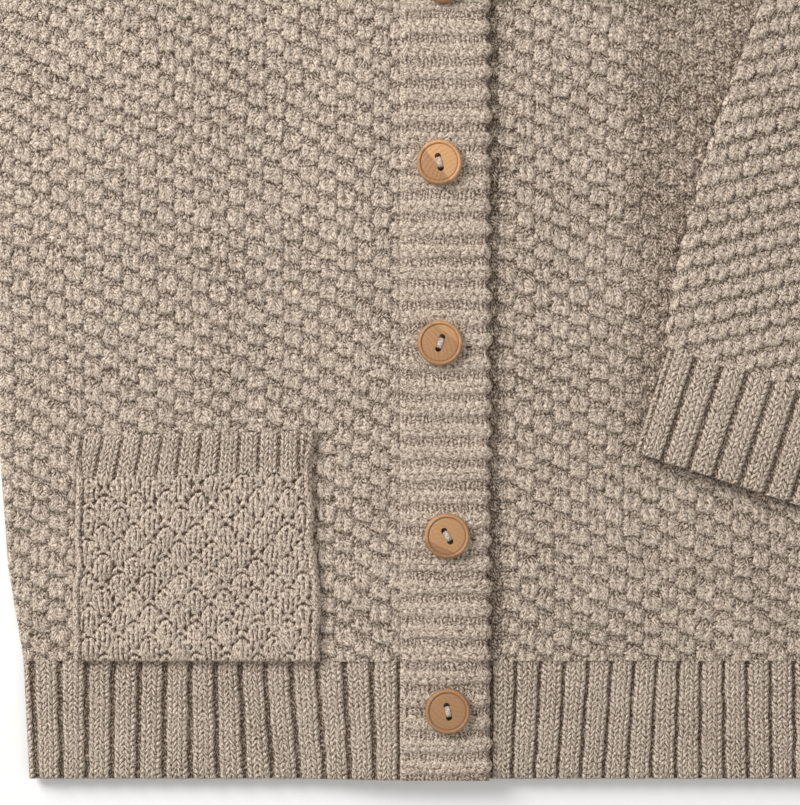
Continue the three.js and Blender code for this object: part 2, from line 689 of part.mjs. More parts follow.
function neckband() {
  const path = neckPath();
  const curve = path.map((p) => new THREE.Vector3(p.x, p.height, p.level));
  const lengths = [0];
  for (let i = 1; i < curve.length; i += 1) lengths.push(lengths[i - 1] + curve[i].distanceTo(curve[i - 1]));
  const total = lengths[lengths.length - 1];
  const ribs = Math.round(total / NECKBAND_RIB_PITCH);
  const stations = [];
  for (let rib = 0; rib < ribs; rib += 1) {
    for (const step of BROAD_RIB) stations.push({ at: (total * (rib + step.at)) / ribs, rise: step.rise });
  }
  stations.push({ at: total, rise: 0 });
  const sections = stations.map(({ at, rise }) => {
    let k = 1;
    while (k < lengths.length - 1 && lengths[k] < at) k += 1;
    const share = clamp((at - lengths[k - 1]) / (lengths[k] - lengths[k - 1]), 0, 1);
    const spot = curve[k - 1].clone().lerp(curve[k], share);
    const lean = mix(path[k - 1].lean, path[k].lean, share);
    const before = path[k - 1].turn;
    const after = path[k].turn;
    const turn = Math.abs(after - before) > Math.PI ? Math.PI : mix(before, after, share);
    const up = new THREE.Vector3(Math.cos(lean), Math.sin(lean), 0);
    const across = new THREE.Vector3(-Math.sin(lean), Math.cos(lean), 0);
    const out = new THREE.Vector3(0, 0, Math.cos(turn)).addScaledVector(across, Math.sin(turn));
    const place = (along, off) => {
      const p = spot.clone().addScaledVector(up, 1.3 * SEAM_GAP + along).addScaledVector(out, off);
      return { x: p.x, height: p.y, z: p.z };
    };
    const half = BAND_WALL / 2;
    const resting = Math.cos(turn) < -0.5;
    const face = resting ? half : half + NECK_RIB_RISE * (rise - 1);
    return [place(0, -half), place(0, face - 0.3), place(2, face), place(NECKBAND_HEIGHT - 2, face),
      place(NECKBAND_HEIGHT, face - 0.8), place(NECKBAND_HEIGHT, -half)];
  });
  return bar(sections);
}

const wasm = await Module();
wasm.setup();

// A closed solid from a geometry, with its doubled points merged and the faces that this empties left out
function toManifold(geometry) {
  const bare = geometry.clone();
  bare.deleteAttribute('normal');
  bare.deleteAttribute('uv');
  const merged = mergeVertices(bare, MERGE_DISTANCE);
  const faces = [];
  for (let i = 0; i < merged.index.count; i += 3) {
    const [a, b, c] = [0, 1, 2].map((k) => merged.index.getX(i + k));
    if (a !== b && b !== c && c !== a) faces.push(a, b, c);
  }
  return new wasm.Manifold(new wasm.Mesh({
    numProp: 3,
    vertProperties: new Float32Array(merged.getAttribute('position').array),
    triVerts: new Uint32Array(faces),
  }));
}

function fromManifold(solid) {
  const mesh = solid.getMesh();
  const made = new THREE.BufferGeometry();
  made.setAttribute('position', new THREE.BufferAttribute(new Float32Array(mesh.vertProperties), 3));
  made.setIndex(new THREE.BufferAttribute(new Uint32Array(mesh.triVerts), 1));
  return made;
}

function buttonGeometry(spec) {
  const points = BUTTON_PROFILE.map((p) => new THREE.Vector2(p.r, p.z));
  const disc = new THREE.LatheGeometry(points, BUTTON_SIDES).rotateX(Math.PI / 2);
  let solid = toManifold(disc);
  for (const way of [-1, 1]) {
    const drill = new THREE.CylinderGeometry(
      BUTTON_HOLE_RADIUS, BUTTON_HOLE_RADIUS, 4 * BUTTON_THICKNESS, BUTTON_HOLE_SIDES);
    drill.rotateX(Math.PI / 2).translate(0, (way * BUTTON_HOLE_SPACING) / 2, 0);
    solid = solid.subtract(toManifold(drill));
  }
  const made = fromManifold(solid);
  made.rotateZ(THREE.MathUtils.degToRad(spec.turn));
  return made.translate(spec.x, spec.height - ORIGIN_HEIGHT, BAND_LEVEL + TOP_BAND_WALL + SEAM_GAP);
}

// A buttonhole: a long lens through the band, starting just left of its button's centre
function slitCutter(spec) {
  const shape = new THREE.Shape();
  const from = spec.x + SLIT.start;
  const to = spec.x + SLIT.end;
  const middle = (from + to) / 2;
  const y = spec.height - ORIGIN_HEIGHT - SLIT.drop;
  shape.moveTo(from, y);
  shape.quadraticCurveTo(middle, y - SLIT.width, to, y);
  shape.quadraticCurveTo(middle, y + SLIT.width, from, y);
  const depth = 3 * TOP_BAND_WALL;
  const made = new THREE.ExtrudeGeometry(shape, { depth, bevelEnabled: false, curveSegments: 5 });
  return toManifold(made.translate(0, 0, BAND_LEVEL - TOP_BAND_WALL));
}

function buttonholeBand() {
  const whole = band(-BAND_HALF_WIDTH, BAND_HALF_WIDTH, BAND_LEVEL, TOP_BAND_WALL, RIDGE_RISE);
  let solid = toManifold(whole);
  for (const spec of BUTTONS) solid = solid.subtract(slitCutter(spec));
  return fromManifold(solid);
}

const garment = new THREE.Group();
garment.name = 'baby_cardigan';

function addPiece(name, geometry, finish) {
  geometry.computeVertexNormals();
  const mesh = new THREE.Mesh(geometry, new THREE.MeshStandardMaterial(finish));
  mesh.name = name;
  garment.add(mesh);
}

addPiece('back', backPanel(), YARN);
addPiece('back_hem_rib', backHem(), YARN);
addPiece('right_front', frontPanel(-1), YARN);
addPiece('left_front', frontPanel(1), YARN);
addPiece('right_hem_rib', hemRib(-1, RIGHT_HEM_RIB_PITCH), YARN);
addPiece('left_hem_rib', hemRib(1, LEFT_HEM_RIB_PITCH), YARN);
addPiece('buttonhole_band', buttonholeBand(), YARN);
addPiece('button_band', band(-BAND_HALF_WIDTH, BAND_HALF_WIDTH, FRONT_LEVEL, BAND_WALL, 0), YARN);
addPiece('pocket', pocketPanel(), YARN);
addPiece('pocket_rib', pocketRib(), YARN);
addPiece('right_sleeve', sleeve(-1, false), YARN);
addPiece('right_cuff', cuff(-1, false), YARN);
addPiece('left_sleeve', sleeve(1, true), YARN);
addPiece('left_cuff', cuff(1, true), YARN);
addPiece('neckband', neckband(), YARN);
BUTTONS.forEach((spec, i) => addPiece(`button_${i + 1}`, buttonGeometry(spec), WOOD));

export default garment;
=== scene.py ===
"""Baby cardigan laid flat: knitted pieces, their stitches, wooden buttons and sewing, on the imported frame."""
import logging
import math
from collections.abc import Callable, Mapping, Sequence
from dataclasses import dataclass
from enum import Enum

import bmesh
import bpy
import numpy as np
from mathutils import Matrix, Vector

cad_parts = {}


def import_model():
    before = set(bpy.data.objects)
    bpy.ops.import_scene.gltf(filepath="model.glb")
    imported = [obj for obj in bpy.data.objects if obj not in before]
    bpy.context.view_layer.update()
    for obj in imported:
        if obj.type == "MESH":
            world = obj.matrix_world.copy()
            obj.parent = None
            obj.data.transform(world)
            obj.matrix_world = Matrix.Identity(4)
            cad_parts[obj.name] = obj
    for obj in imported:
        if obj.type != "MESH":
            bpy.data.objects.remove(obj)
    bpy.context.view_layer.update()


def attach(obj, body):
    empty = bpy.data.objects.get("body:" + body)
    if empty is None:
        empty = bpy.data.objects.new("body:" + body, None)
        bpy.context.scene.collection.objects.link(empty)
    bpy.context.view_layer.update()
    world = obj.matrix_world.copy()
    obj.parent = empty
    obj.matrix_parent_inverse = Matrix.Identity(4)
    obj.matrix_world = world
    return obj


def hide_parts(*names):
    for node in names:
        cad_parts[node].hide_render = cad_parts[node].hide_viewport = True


LOG = logging.getLogger("cardigan")
MM = 0.001
UV_MAP = "stitches"
# Point attribute carrying painted shade: yarn colour darkened in crevices, gaps and slits, and beside the band
# and the folded sleeve.
SHADE = "painted_shade"
Array = np.ndarray
Socket = bpy.types.NodeSocket
Colour = tuple[float, float, float, float]


def smooth(low: float, high: float, value: Array) -> Array:
    """Eased step from 0 at low to 1 at high."""
    t = np.clip((value - low) / (high - low), 0.0, 1.0)
    return t * t * (3.0 - 2.0 * t)


def mix(start: Array, end: Array, share: Array) -> Array:
    """Straight blend between two values."""
    return start + (end - start) * share


def fraction(value: Array) -> Array:
    """What a value has past its last whole number."""
    return value - np.floor(value)


def rounded(inset: Array, reach: float) -> Array:
    """Fall of a rounded edge: 1 at the rim, 0 from its reach inwards."""
    part = 1 - np.clip(inset / reach, 0, 1)
    return 1 - np.sqrt(1 - part * part)


def scatter(i: Array, j: Array, seed: float) -> Array:
    """Repeatable scattered value from 0 to 1 for each whole cell."""
    return fraction(np.sin(i * 127.1 + j * 311.7 + seed * 74.7) * 43758.5453)


def varied(i: Array, j: Array, seed: float, least: float, spread: float) -> Array:
    """Repeatable value for each whole cell, from the least upwards by up to the spread."""
    return least + spread * scatter(i, j, seed)


def drift(x: Array, y: Array, seed: float) -> Array:
    """Soft uneven field from -1 to 1 with hills about one unit wide.

    Args:
        x: Places across.
        y: Places up.
        seed: Number that picks the field.

    Returns:
        The field at each place.
    """
    xi, yi = np.floor(x), np.floor(y)
    fx, fy = x - xi, y - yi
    sx, sy = fx * fx * (3 - 2 * fx), fy * fy * (3 - 2 * fy)
    low = mix(scatter(xi, yi, seed), scatter(xi + 1, yi, seed), sx)
    high = mix(scatter(xi, yi + 1, seed), scatter(xi + 1, yi + 1, seed), sx)
    return 2.0 * mix(low, high, sy) - 1.0


def even(level: float) -> Callable[[Array, Array], Array]:
    """A level that is the same all over a panel."""
    return lambda x, height: np.full_like(x, level)


def link(name: str, data: bpy.types.ID) -> bpy.types.Object:
    """Makes an object of finished data and puts it in the scene.

    Args:
        name: The object's name.
        data: Its mesh, light or camera.

    Returns:
        The object, at the origin.
    """
    made = bpy.data.objects.new(name, data)
    bpy.context.scene.collection.objects.link(made)
    return made


def new_mesh(shape: bmesh.types.BMesh, name: str) -> bpy.types.Mesh:
    """Turns a finished shape into a mesh and frees the shape.

    Args:
        shape: The shape.
        name: The mesh's name.

    Returns:
        The mesh.
    """
    mesh = bpy.data.meshes.new(name)
    shape.to_mesh(mesh)
    shape.free()
    return mesh


def read_spots(mesh: bpy.types.Mesh) -> tuple[Array, Array]:
    """Gives a mesh's points, and which of them each corner of its faces has.

    Args:
        mesh: The mesh.

    Returns:
        The points, and a point's number for each corner.
    """
    spots = np.empty(len(mesh.vertices) * 3, np.float32)
    mesh.vertices.foreach_get("co", spots)
    corners = np.empty(len(mesh.loops), np.int32)
    mesh.loops.foreach_get("vertex_index", corners)
    return spots.reshape(-1, 3), corners


def write_map(mesh: bpy.types.Mesh, places: Array) -> None:
    """Gives a mesh the UV map that its material reads, one place for each corner."""
    layer = mesh.uv_layers.new(name=UV_MAP)
    layer.data.foreach_set("uv", places.astype(np.float32).ravel())


class Side(Enum):
    """The wearer's sides, each with the way it points along X."""

    RIGHT = -1
    LEFT = 1


@dataclass(frozen=True)
class BodyShape:
    """Outline and levels of the laid body, in millimetres, with heights up from the hem's lower edge."""

    length: float = 326.0
    middle: float = 165.0
    chest: float = 300.0
    hem: float = 40.0
    hem_half: float = 140.0
    band_half: float = 15.0
    band_top: float = 277.0
    neck_low: float = 259.0
    neck_half: float = 50.0
    neck_dip: float = 9.0
    underarm_height: float = 195.0
    shoulder_height: float = 310.0
    shoulder_half: float = 117.0
    side_heights: tuple[float, ...] = (0, 40, 70, 110, 195)
    side_halves: tuple[float, ...] = (139, 141, 146, 149, 150)
    seam_heights: tuple[float, ...] = (195, 310, 326)
    seam_halves: tuple[float, ...] = (149.85, 116.85, 50.0)
    under_band: float = 2.2
    gap: float = 0.3
    wall: float = 3.0
    front_level: float = 3.3
    band_level: float = 6.2
    swell_rise: float = 0.8
    swell_fade: float = 45.0

    def outer_half(self, height: Array) -> Array:
        """Half width at a height: side line, armhole seam, then the shoulder line.

        Args:
            height: Heights over the hem's lower edge, in millimetres.

        Returns:
            The half width at each height.
        """
        side = np.interp(height, self.side_heights, self.side_halves)
        seam = np.interp(height, self.seam_heights, self.seam_halves)
        return np.where(height <= self.underarm_height, side, seam)

    def inner_half(self, height: Array) -> Array:
        """Inner edge of a front: beside the band, then round the neck.

        Args:
            height: Heights over the hem's lower edge, in millimetres.

        Returns:
            Distance of the edge from the middle line.
        """
        edge = self.band_half - self.under_band
        part = np.clip((self.length - height) / (self.length - self.neck_low), 0.0, 1.0)
        return edge + (self.neck_half - self.band_half) * np.sqrt(1.0 - part * part)

    def swell(self, x: Array, height: Array) -> Array:
        """Slow swell of the laid front, nothing at its sides and hem.

        Args:
            x: Places across, in millimetres.
            height: Heights over the hem's lower edge, in millimetres.

        Returns:
            The rise of the cloth.
        """
        half = self.outer_half(np.minimum(height, self.shoulder_height))
        away = smooth(0, self.swell_fade, half - np.abs(x)) * smooth(0, self.swell_fade, height)
        away = away * smooth(0, self.swell_fade, self.length - height)
        waves = np.sin(x / 31 + height / 57 + 0.8) + np.sin(x / 53 - height / 38 + 2.1)
        return self.swell_rise * away * (0.5 + 0.25 * waves)

    def lift(self, x: Array) -> Array:
        """Climb of the right front on to the button band beneath it."""
        return (self.band_level - self.front_level) * smooth(-50, -19, x)

    def front_under(self, x: Array, height: Array) -> Array:
        """Level of the front's underside."""
        beside = smooth(self.band_half, 2 * self.band_half, np.abs(x))
        return self.front_level + self.swell(x, height) * beside + np.where(x < 0, self.lift(x), 0.0)

    def back_top(self, x: Array) -> Array:
        """Top edge of the back: shoulders, then the shallow back neck.

        Args:
            x: Places across, in millimetres.

        Returns:
            Height of the edge at each place.
        """
        far = np.abs(x)
        shoulders = np.interp(far, (self.neck_half, self.shoulder_half), (self.length, self.shoulder_height))
        neck = self.length - self.neck_dip * np.cos(far / self.neck_half * math.pi / 2)
        return np.where(far >= self.neck_half, shoulders, neck)


BODY = BodyShape()


@dataclass(frozen=True)
class Relief:
    """Height of a stitched face over its cloth in millimetres, and how deep in shade each point lies."""

    height: Array
    painted_shade: Array


@dataclass(frozen=True)
class Stitch:
    """A knitted pattern, with the width of one wale and the height of one course in millimetres."""

    wale: float = 3.0
    course: float = 1.83

    def unit(self) -> tuple[float, float]:
        """Width and height of what its places are counted in, in millimetres."""
        return self.wale, self.course

    def relief(self, u: Array, v: Array) -> Relief:
        """Relief at places counted in stitches."""
        return Relief(np.zeros_like(u), np.zeros_like(u))


@dataclass(frozen=True)
class DoubleMoss(Stitch):
    """Double moss: lapping nubs of four lumps, each column set half a nub off the next."""

    half_width: float = 3.6
    upper: float = 2.9
    lower: float = 3.1
    power: float = 2.1
    lumps: tuple[tuple[float, float], ...] = ((1.8, 1.0), (1.45, -1.4))
    lump_size: float = 1.75
    bulge: float = 0.8
    swelling: float = 0.3
    reach: float = 4.15
    skew: float = 0.28
    rise: float = 0.64
    lump_rise: float = 0.42
    flat_lump: float = -0.3
    dome_power: float = 0.36
    foot: float = 2.9
    crown: float = -1.6
    foot_share: float = 0.55
    leg_pitch: float = 1.5
    leg_rise: float = 0.12

    def nub(self, x: Array, y: Array) -> tuple[Array, Array]:
        """How far a place lies inside a nub, and how far inside its nearest lump.

        Args:
            x: Distance from the nub's middle line, in millimetres.
            y: Height over the nub's middle, in millimetres.

        Returns:
            Both shares, below nothing outside.
        """
        tall = np.where(y > 0, self.upper, self.lower)
        far = (x / self.half_width) ** self.power + (np.abs(y) / tall) ** self.power
        lump = np.full_like(x, self.flat_lump)
        for at_x, at_y in self.lumps:
            lump = np.maximum(lump, 1 - ((x - at_x) ** 2 + (y - at_y) ** 2) / self.lump_size ** 2)
        return 1 - far + self.bulge * (lump - self.swelling), lump

    def relief(self, u: Array, v: Array) -> Relief:
        """Relief of the nubs and of the low legs between.

        Args:
            u: Places across, in wales.
            v: Places up, in courses.

        Returns:
            The height, nothing at the crest, and the shade.
        """
        column = np.floor(u / 2)
        off = (u - 2 * column - 1) * self.wale
        pitch = 4 * self.course
        best = np.zeros_like(u)
        for step in (0, 1):
            beside = column + step * np.where(off > 0, 1, -1)
            x = off if step == 0 else off - 2 * self.wale * np.where(off > 0, 1, -1)
            lifted = v * self.course + self.skew * x + np.mod(beside, 2) * pitch / 2
            cell = np.floor(lifted / pitch)
            y = lifted - cell * pitch - self.reach
            size = varied(beside, cell, 23.0, 0.93, 0.12)
            inside, lump = self.nub(np.abs(x) / size, y / size)
            slope = self.foot_share + (1 - self.foot_share) * smooth(self.foot, self.crown, y)
            dome = np.clip(inside, 0, 1) ** self.dome_power * slope * varied(beside, cell, 3.0, 0.8, 0.4)
            swell = varied(beside * 2 + (x > 0), 2 * cell + (y > 0), 13.0, 0.6, 0.8)
            lobe = np.sqrt(np.clip(lump, 0, 1)) * (inside > 0) * swell
            best = np.maximum(best, self.rise * dome + self.lump_rise * lobe)
        legs = self.leg_rise * np.cos(2 * math.pi * off / self.leg_pitch) * smooth(0.15, 0.0, best)
        # Painted shade on the low ground between the nubs.
        painted_shade = 0.2 * smooth(0.3, 0.0, best)
        return Relief(best - self.rise - self.lump_rise + legs, painted_shade)


@dataclass(frozen=True)
class BroadRib(Stitch):
    """Ribs of knit columns, each of two slanted legs, with a narrow sunk channel between ribs."""

    pitch: float = 8.7
    gap: float = 0.23
    depth: float = 2.0
    slant: float = 1.15
    crease: float = 0.5
    fall: float = 1.1
    outer_slant: float = 0.55
    loop_rise: float = 0.36
    bar_rise: float = 0.4

    def unit(self) -> tuple[float, float]:
        """Width of a rib and height of a course, in millimetres."""
        return self.pitch, self.course

    def relief(self, u: Array, v: Array) -> Relief:
        """Relief of ribs and channels.

        Args:
            u: Places across, in ribs.
            v: Places up, in courses.

        Returns:
            The height, nothing at the crest, and the shade.
        """
        rib = np.floor(u)
        w = (u - rib - self.gap / 2) / (1 - self.gap)
        inside = (w > 0) & (w < 1)
        w = np.clip(w, 0, 1)
        leg = np.minimum(np.floor(w * 4), 3)
        p = w * 4 - leg
        way = np.where(np.mod(leg, 2) == 0, 1.0, -1.0)
        outer = np.abs(leg - 1.5) > 1
        q = fraction(v + way * np.where(outer, self.outer_slant, 1.0) * self.slant * (p - 0.5))
        along = np.sin(math.pi * q) ** 0.7
        across = np.sqrt(np.maximum(0, 1 - (2 * p - 1) ** 2 * 0.98))
        round_off = 1 - (1 - np.abs(2 * w - 1) ** 2.6) ** 0.5
        top = self.crease * (across - 1) + self.loop_rise * (along - 1) - round_off * self.fall
        bars = np.abs(np.sin(math.pi * (v + 0.5)))
        channel = -self.depth + self.bar_rise * bars
        wall = smooth(0, 0.03, w) * smooth(0, 0.03, 1 - w)
        height = np.where(inside, mix(channel, top, wall), channel)
        # Painted shade on the rib's flanks and walls and in the channel, less on the channel's bars.
        side = np.abs(2 * w - 1) ** 12
        painted_shade = np.where(inside, 0.35 * side + 0.6 * (1 - wall), 0.95 - 0.3 * bars)
        return Relief(height, np.clip(painted_shade, 0, 1))


@dataclass(frozen=True)
class CrossRidge(Stitch):
    """Ridges across a band: two rows of bumps set half a stitch apart, then a low row of legs."""

    wale: float = 2.77
    course: float = 7.45 / 3
    valley: float = 0.75
    bump: float = 0.52
    leg_rise: float = 0.5

    def relief(self, u: Array, v: Array) -> Relief:
        """Relief of ridges and valleys.

        Args:
            u: Places across, in stitches.
            v: Places up, in rows, three to a ridge.

        Returns:
            The height, nothing at the crest, and the shade.
        """
        ridge = np.floor(v / 3)
        row = v - 3 * ridge
        second = row >= 2
        own_row = ridge + 0.5 * second
        along = u + 0.5 * second + 0.25 * scatter(ridge, 0 * ridge, 8.0)
        stitch = np.floor(along)
        x = along - stitch - 0.5
        y = np.where(second, row - 2.5, row - 1.5) + 0.22 * (scatter(stitch, own_row, 2.0) - 0.5)
        size = varied(stitch, own_row, 14.0, 0.9, 0.25)
        far = (np.abs(x) / 0.5) ** 2 + (np.abs(y + 0.5 * np.abs(x) - 0.12) / (0.56 * size)) ** 2
        cap = np.sqrt(np.maximum(0, 1 - far))
        swell = np.sin(math.pi * np.clip((row - 0.7) / 2.3, 0, 1)) ** 0.7
        legs = np.abs(np.sin(2 * math.pi * u)) ** 0.8
        own = varied(stitch, own_row, 6.0, 0.75, 0.5)
        ridge_height = self.bump * (cap * own - 1) + self.valley * (swell - 1)
        valley_height = -self.valley - self.bump + self.leg_rise * legs
        blend = smooth(0.75, 1.0, row) * smooth(0, 0.2, 3 - row)
        height = mix(valley_height, ridge_height, blend)
        # Painted shade in the valley, less on its legs, and on the ridge away from each bump's top.
        painted_shade = mix(0.8 - 0.66 * legs, 0.42 * (1 - cap) ** 1.6, blend)
        return Relief(height, np.clip(painted_shade, 0, 1))


@dataclass(frozen=True)
class Bell(Stitch):
    """Bells set like bricks: a small peak over an arch, and four legs hanging from it.

    Each stroke has its two ends, x and y, and its radius. The dome lies under the legs.
    """

    wale: float = 10.3
    course: float = 10.7
    strokes: tuple[tuple[float, float, float, float, float], ...] = (
        (0.0, 1.1, -1.7, -0.6, 0.72),
        (0.0, 1.1, 1.7, -0.6, 0.72),
        (0.0, 2.2, 0.0, 0.4, 0.7),
        (-2.5, -3.9, -0.6, -1.75, 0.75),
        (2.5, -3.9, 0.6, -1.75, 0.75),
        (-2.6, -4.4, -2.3, -8.0, 0.74),
        (-0.9, -3.2, -0.75, -8.8, 0.74),
        (0.9, -3.2, 0.75, -8.8, 0.74),
        (2.6, -4.4, 2.3, -8.0, 0.74),
    )
    stroke_rise: float = 0.75
    dome: float = 0.6
    dome_half: float = 3.2
    dome_tall: float = 4.1
    dome_drop: float = 5.6
    aside: float = 0.5
    astray: float = 0.8

    def relief(self, u: Array, v: Array) -> Relief:
        """Relief of the bells.

        Args:
            u: Places across, in bells.
            v: Places up, in bells.

        Returns:
            The height, nothing at the crest, and the shade.
        """
        best = np.full_like(u, -1.0)
        domes = np.zeros_like(u)
        for shift in (0.0, 0.5):
            column = np.floor(u + shift + 0.5)
            for step in (0, 1):
                row = np.floor(v + shift) + step
                x = (u + shift - column) * self.wale
                y = (v + shift - row) * self.course
                x = x + self.aside * (scatter(column, row, 9.0 + shift) - 0.5)
                y = y + self.astray * (scatter(column, row, 19.0 + shift) - 0.5)
                far = (x / self.dome_half) ** 2 + ((y + self.dome_drop) / self.dome_tall) ** 2
                domes = np.maximum(domes, np.sqrt(np.maximum(0, 1 - far)))
                for x0, y0, x1, y1, radius in self.strokes:
                    dx, dy = x1 - x0, y1 - y0
                    t = np.clip(((x - x0) * dx + (y - y0) * dy) / (dx * dx + dy * dy), 0, 1)
                    gone = np.hypot(x - x0 - t * dx, y - y0 - t * dy) / radius
                    best = np.maximum(best, 1 - gone * gone)
        cap = np.sqrt(np.clip(best, 0, 1))
        height = self.stroke_rise * (cap - 1) + self.dome * (domes - 1)
        # Painted shade between the strokes and off the domes.
        painted_shade = np.clip(0.9 - 1.5 * cap + 0.1 * (1 - domes), 0, 1)
        return Relief(height, painted_shade)


@dataclass
class Placed:
    """Where every point of a grid goes, in millimetres, with its place in stitches and its shade."""

    points: Array
    stitches: Array
    painted_shade: Array


@dataclass
class ClothGrid:
    """A grid of cloth made by an operator, shaped point by point, then closed to a thin shell."""

    name: str
    columns: int
    rows: int
    capped: bool = True

    def build(self, place: Callable[[Array, Array], Placed]) -> bpy.types.Object:
        """Makes the shell.

        Args:
            place: Gives the place of each point from its column and row.

        Returns:
            The new object, at the origin, in metres.
        """
        shell = bmesh.new()
        bmesh.ops.create_grid(shell, x_segments=self.columns, y_segments=self.rows, size=0.5)
        mesh = new_mesh(shell, self.name)
        spots, corners = read_spots(mesh)
        column = np.rint((spots[:, 0] + 0.5) * self.columns).astype(int)
        row = np.rint((spots[:, 1] + 0.5) * self.rows).astype(int)
        placed = place(column, row)
        mesh.vertices.foreach_set("co", (placed.points * MM).astype(np.float32).ravel())
        write_map(mesh, placed.stitches[corners])
        shade = mesh.attributes.new(SHADE, "FLOAT", "POINT")
        shade.data.foreach_set("value", placed.painted_shade.astype(np.float32))
        self.close(mesh)
        return link(self.name, mesh)

    def close(self, mesh: bpy.types.Mesh) -> None:
        """Joins the grid's meeting edges, caps its open ends and turns its faces outwards.

        Args:
            mesh: The placed grid, changed in place.
        """
        shell = bmesh.new()
        shell.from_mesh(mesh)
        rim = [v for v in shell.verts if v.is_boundary]
        bmesh.ops.remove_doubles(shell, verts=rim, dist=2e-6)
        if self.capped:
            bmesh.ops.holes_fill(shell, edges=[e for e in shell.edges if e.is_boundary], sides=0)
        if shell.calc_volume(signed=True) < 0:
            bmesh.ops.reverse_faces(shell, faces=shell.faces[:])
        for face in shell.faces:
            face.smooth = len(face.verts) < 5
        shell.to_mesh(mesh)
        shell.free()


class Face(Enum):
    """Which face of a panel is the stitched outside."""

    UP = 1
    DOWN = -1


@dataclass
class Panel:
    """A flat knitted panel: a stitched face, walls round its edges and a plain inner face."""

    name: str
    stitch: Stitch
    heights: Array
    columns: int
    limits: Callable[[Array], tuple[Array, Array]]
    inner_level: Callable[[Array, Array], Array]
    wall: float
    edge_drops: tuple[float, float, float, float] = (0.4, 0.4, 0.4, 0.4)
    face: Face = Face.UP
    inner_columns: int = 14
    warp: float = 0.75
    edge_round: float = 3.0
    sewn_above: float = 0.0
    sewn_fade: float = 4.0
    stitches: Callable[[Array, Array], tuple[Array, Array]] | None = None
    extra: Callable[[Array, Array, Array, Array, Relief], Relief] | None = None
    adjust: Callable[[Placed, Array, Array], None] | None = None

    def around(self) -> tuple[Array, Array]:
        """Share across and share of the wall for each column, once round the section.

        Returns:
            Both shares, the second 1 on the stitched face.
        """
        walls = np.array([0.66, 0.33])
        share = np.concatenate([
            np.linspace(0, 1, self.columns), np.ones(2), np.linspace(1, 0, self.inner_columns),
            np.zeros(2), [0.0]])
        level = np.concatenate([
            np.ones(self.columns), walls, np.zeros(self.inner_columns), walls[::-1], [1.0]])
        return share, level

    def build(self) -> bpy.types.Object:
        """Makes the panel's shell.

        Returns:
            The shell's object.
        """
        share, level = self.around()
        grid = ClothGrid(self.name, len(share) - 1, len(self.heights) - 1)
        return grid.build(lambda i, j: self.place(share[i], level[i], self.heights[j]))

    def place(self, share: Array, level: Array, height: Array) -> Placed:
        """Places the panel's points.

        Args:
            share: Share across the row.
            level: 1 on the stitched face, 0 on the inner face.
            height: Height of the row.

        Returns:
            Points, stitch places and shade.
        """
        low, high = self.limits(height)
        x = mix(low, high, share)
        insets = (x - low, high - x, height - self.heights[0], self.heights[-1] - height)
        drop = np.zeros_like(x)
        for inset, most in zip(insets, self.edge_drops):
            drop = np.maximum(drop, most * rounded(inset, self.edge_round))
        if self.sewn_above:
            sewn = smooth(self.sewn_above - self.sewn_fade, self.sewn_above + self.sewn_fade, height)
            drop = drop * (1 - 0.95 * sewn)
        if self.stitches:
            u, v = self.stitches(x, height)
        else:
            u, v = x / self.stitch.wale, height / self.stitch.course
        relief = self.stitch.relief(u, v)
        if self.extra:
            relief = self.extra(x, height, insets[0], insets[1], relief)
        raised = relief.height * mix(0.5, 1.0, smooth(0.0, 1.2, np.minimum.reduce(insets)))
        inner = self.inner_level(x, height)
        outer = inner + self.face.value * (self.wall + raised - drop)
        aside, along = np.minimum(insets[0], insets[1]), np.minimum(insets[2], insets[3])
        loose = self.warp * (smooth(0, 5, aside) * smooth(0, 5, along))
        shift_x = loose * (drift(x / 4.3, height / 4.3, 1.0) + 1.2 * drift(x / 26, height / 33, 2.0))
        shift_y = loose * (drift(x / 4.7, height / 4.1, 4.0) + 1.6 * drift(x / 30, height / 26, 6.0))
        points = np.stack([x + shift_x, height + shift_y - BODY.middle, mix(inner, outer, level)], axis=1)
        placed = Placed(points, np.stack([u, v], axis=1), relief.painted_shade * level)
        if self.adjust:
            self.adjust(placed, share, height)
        return placed


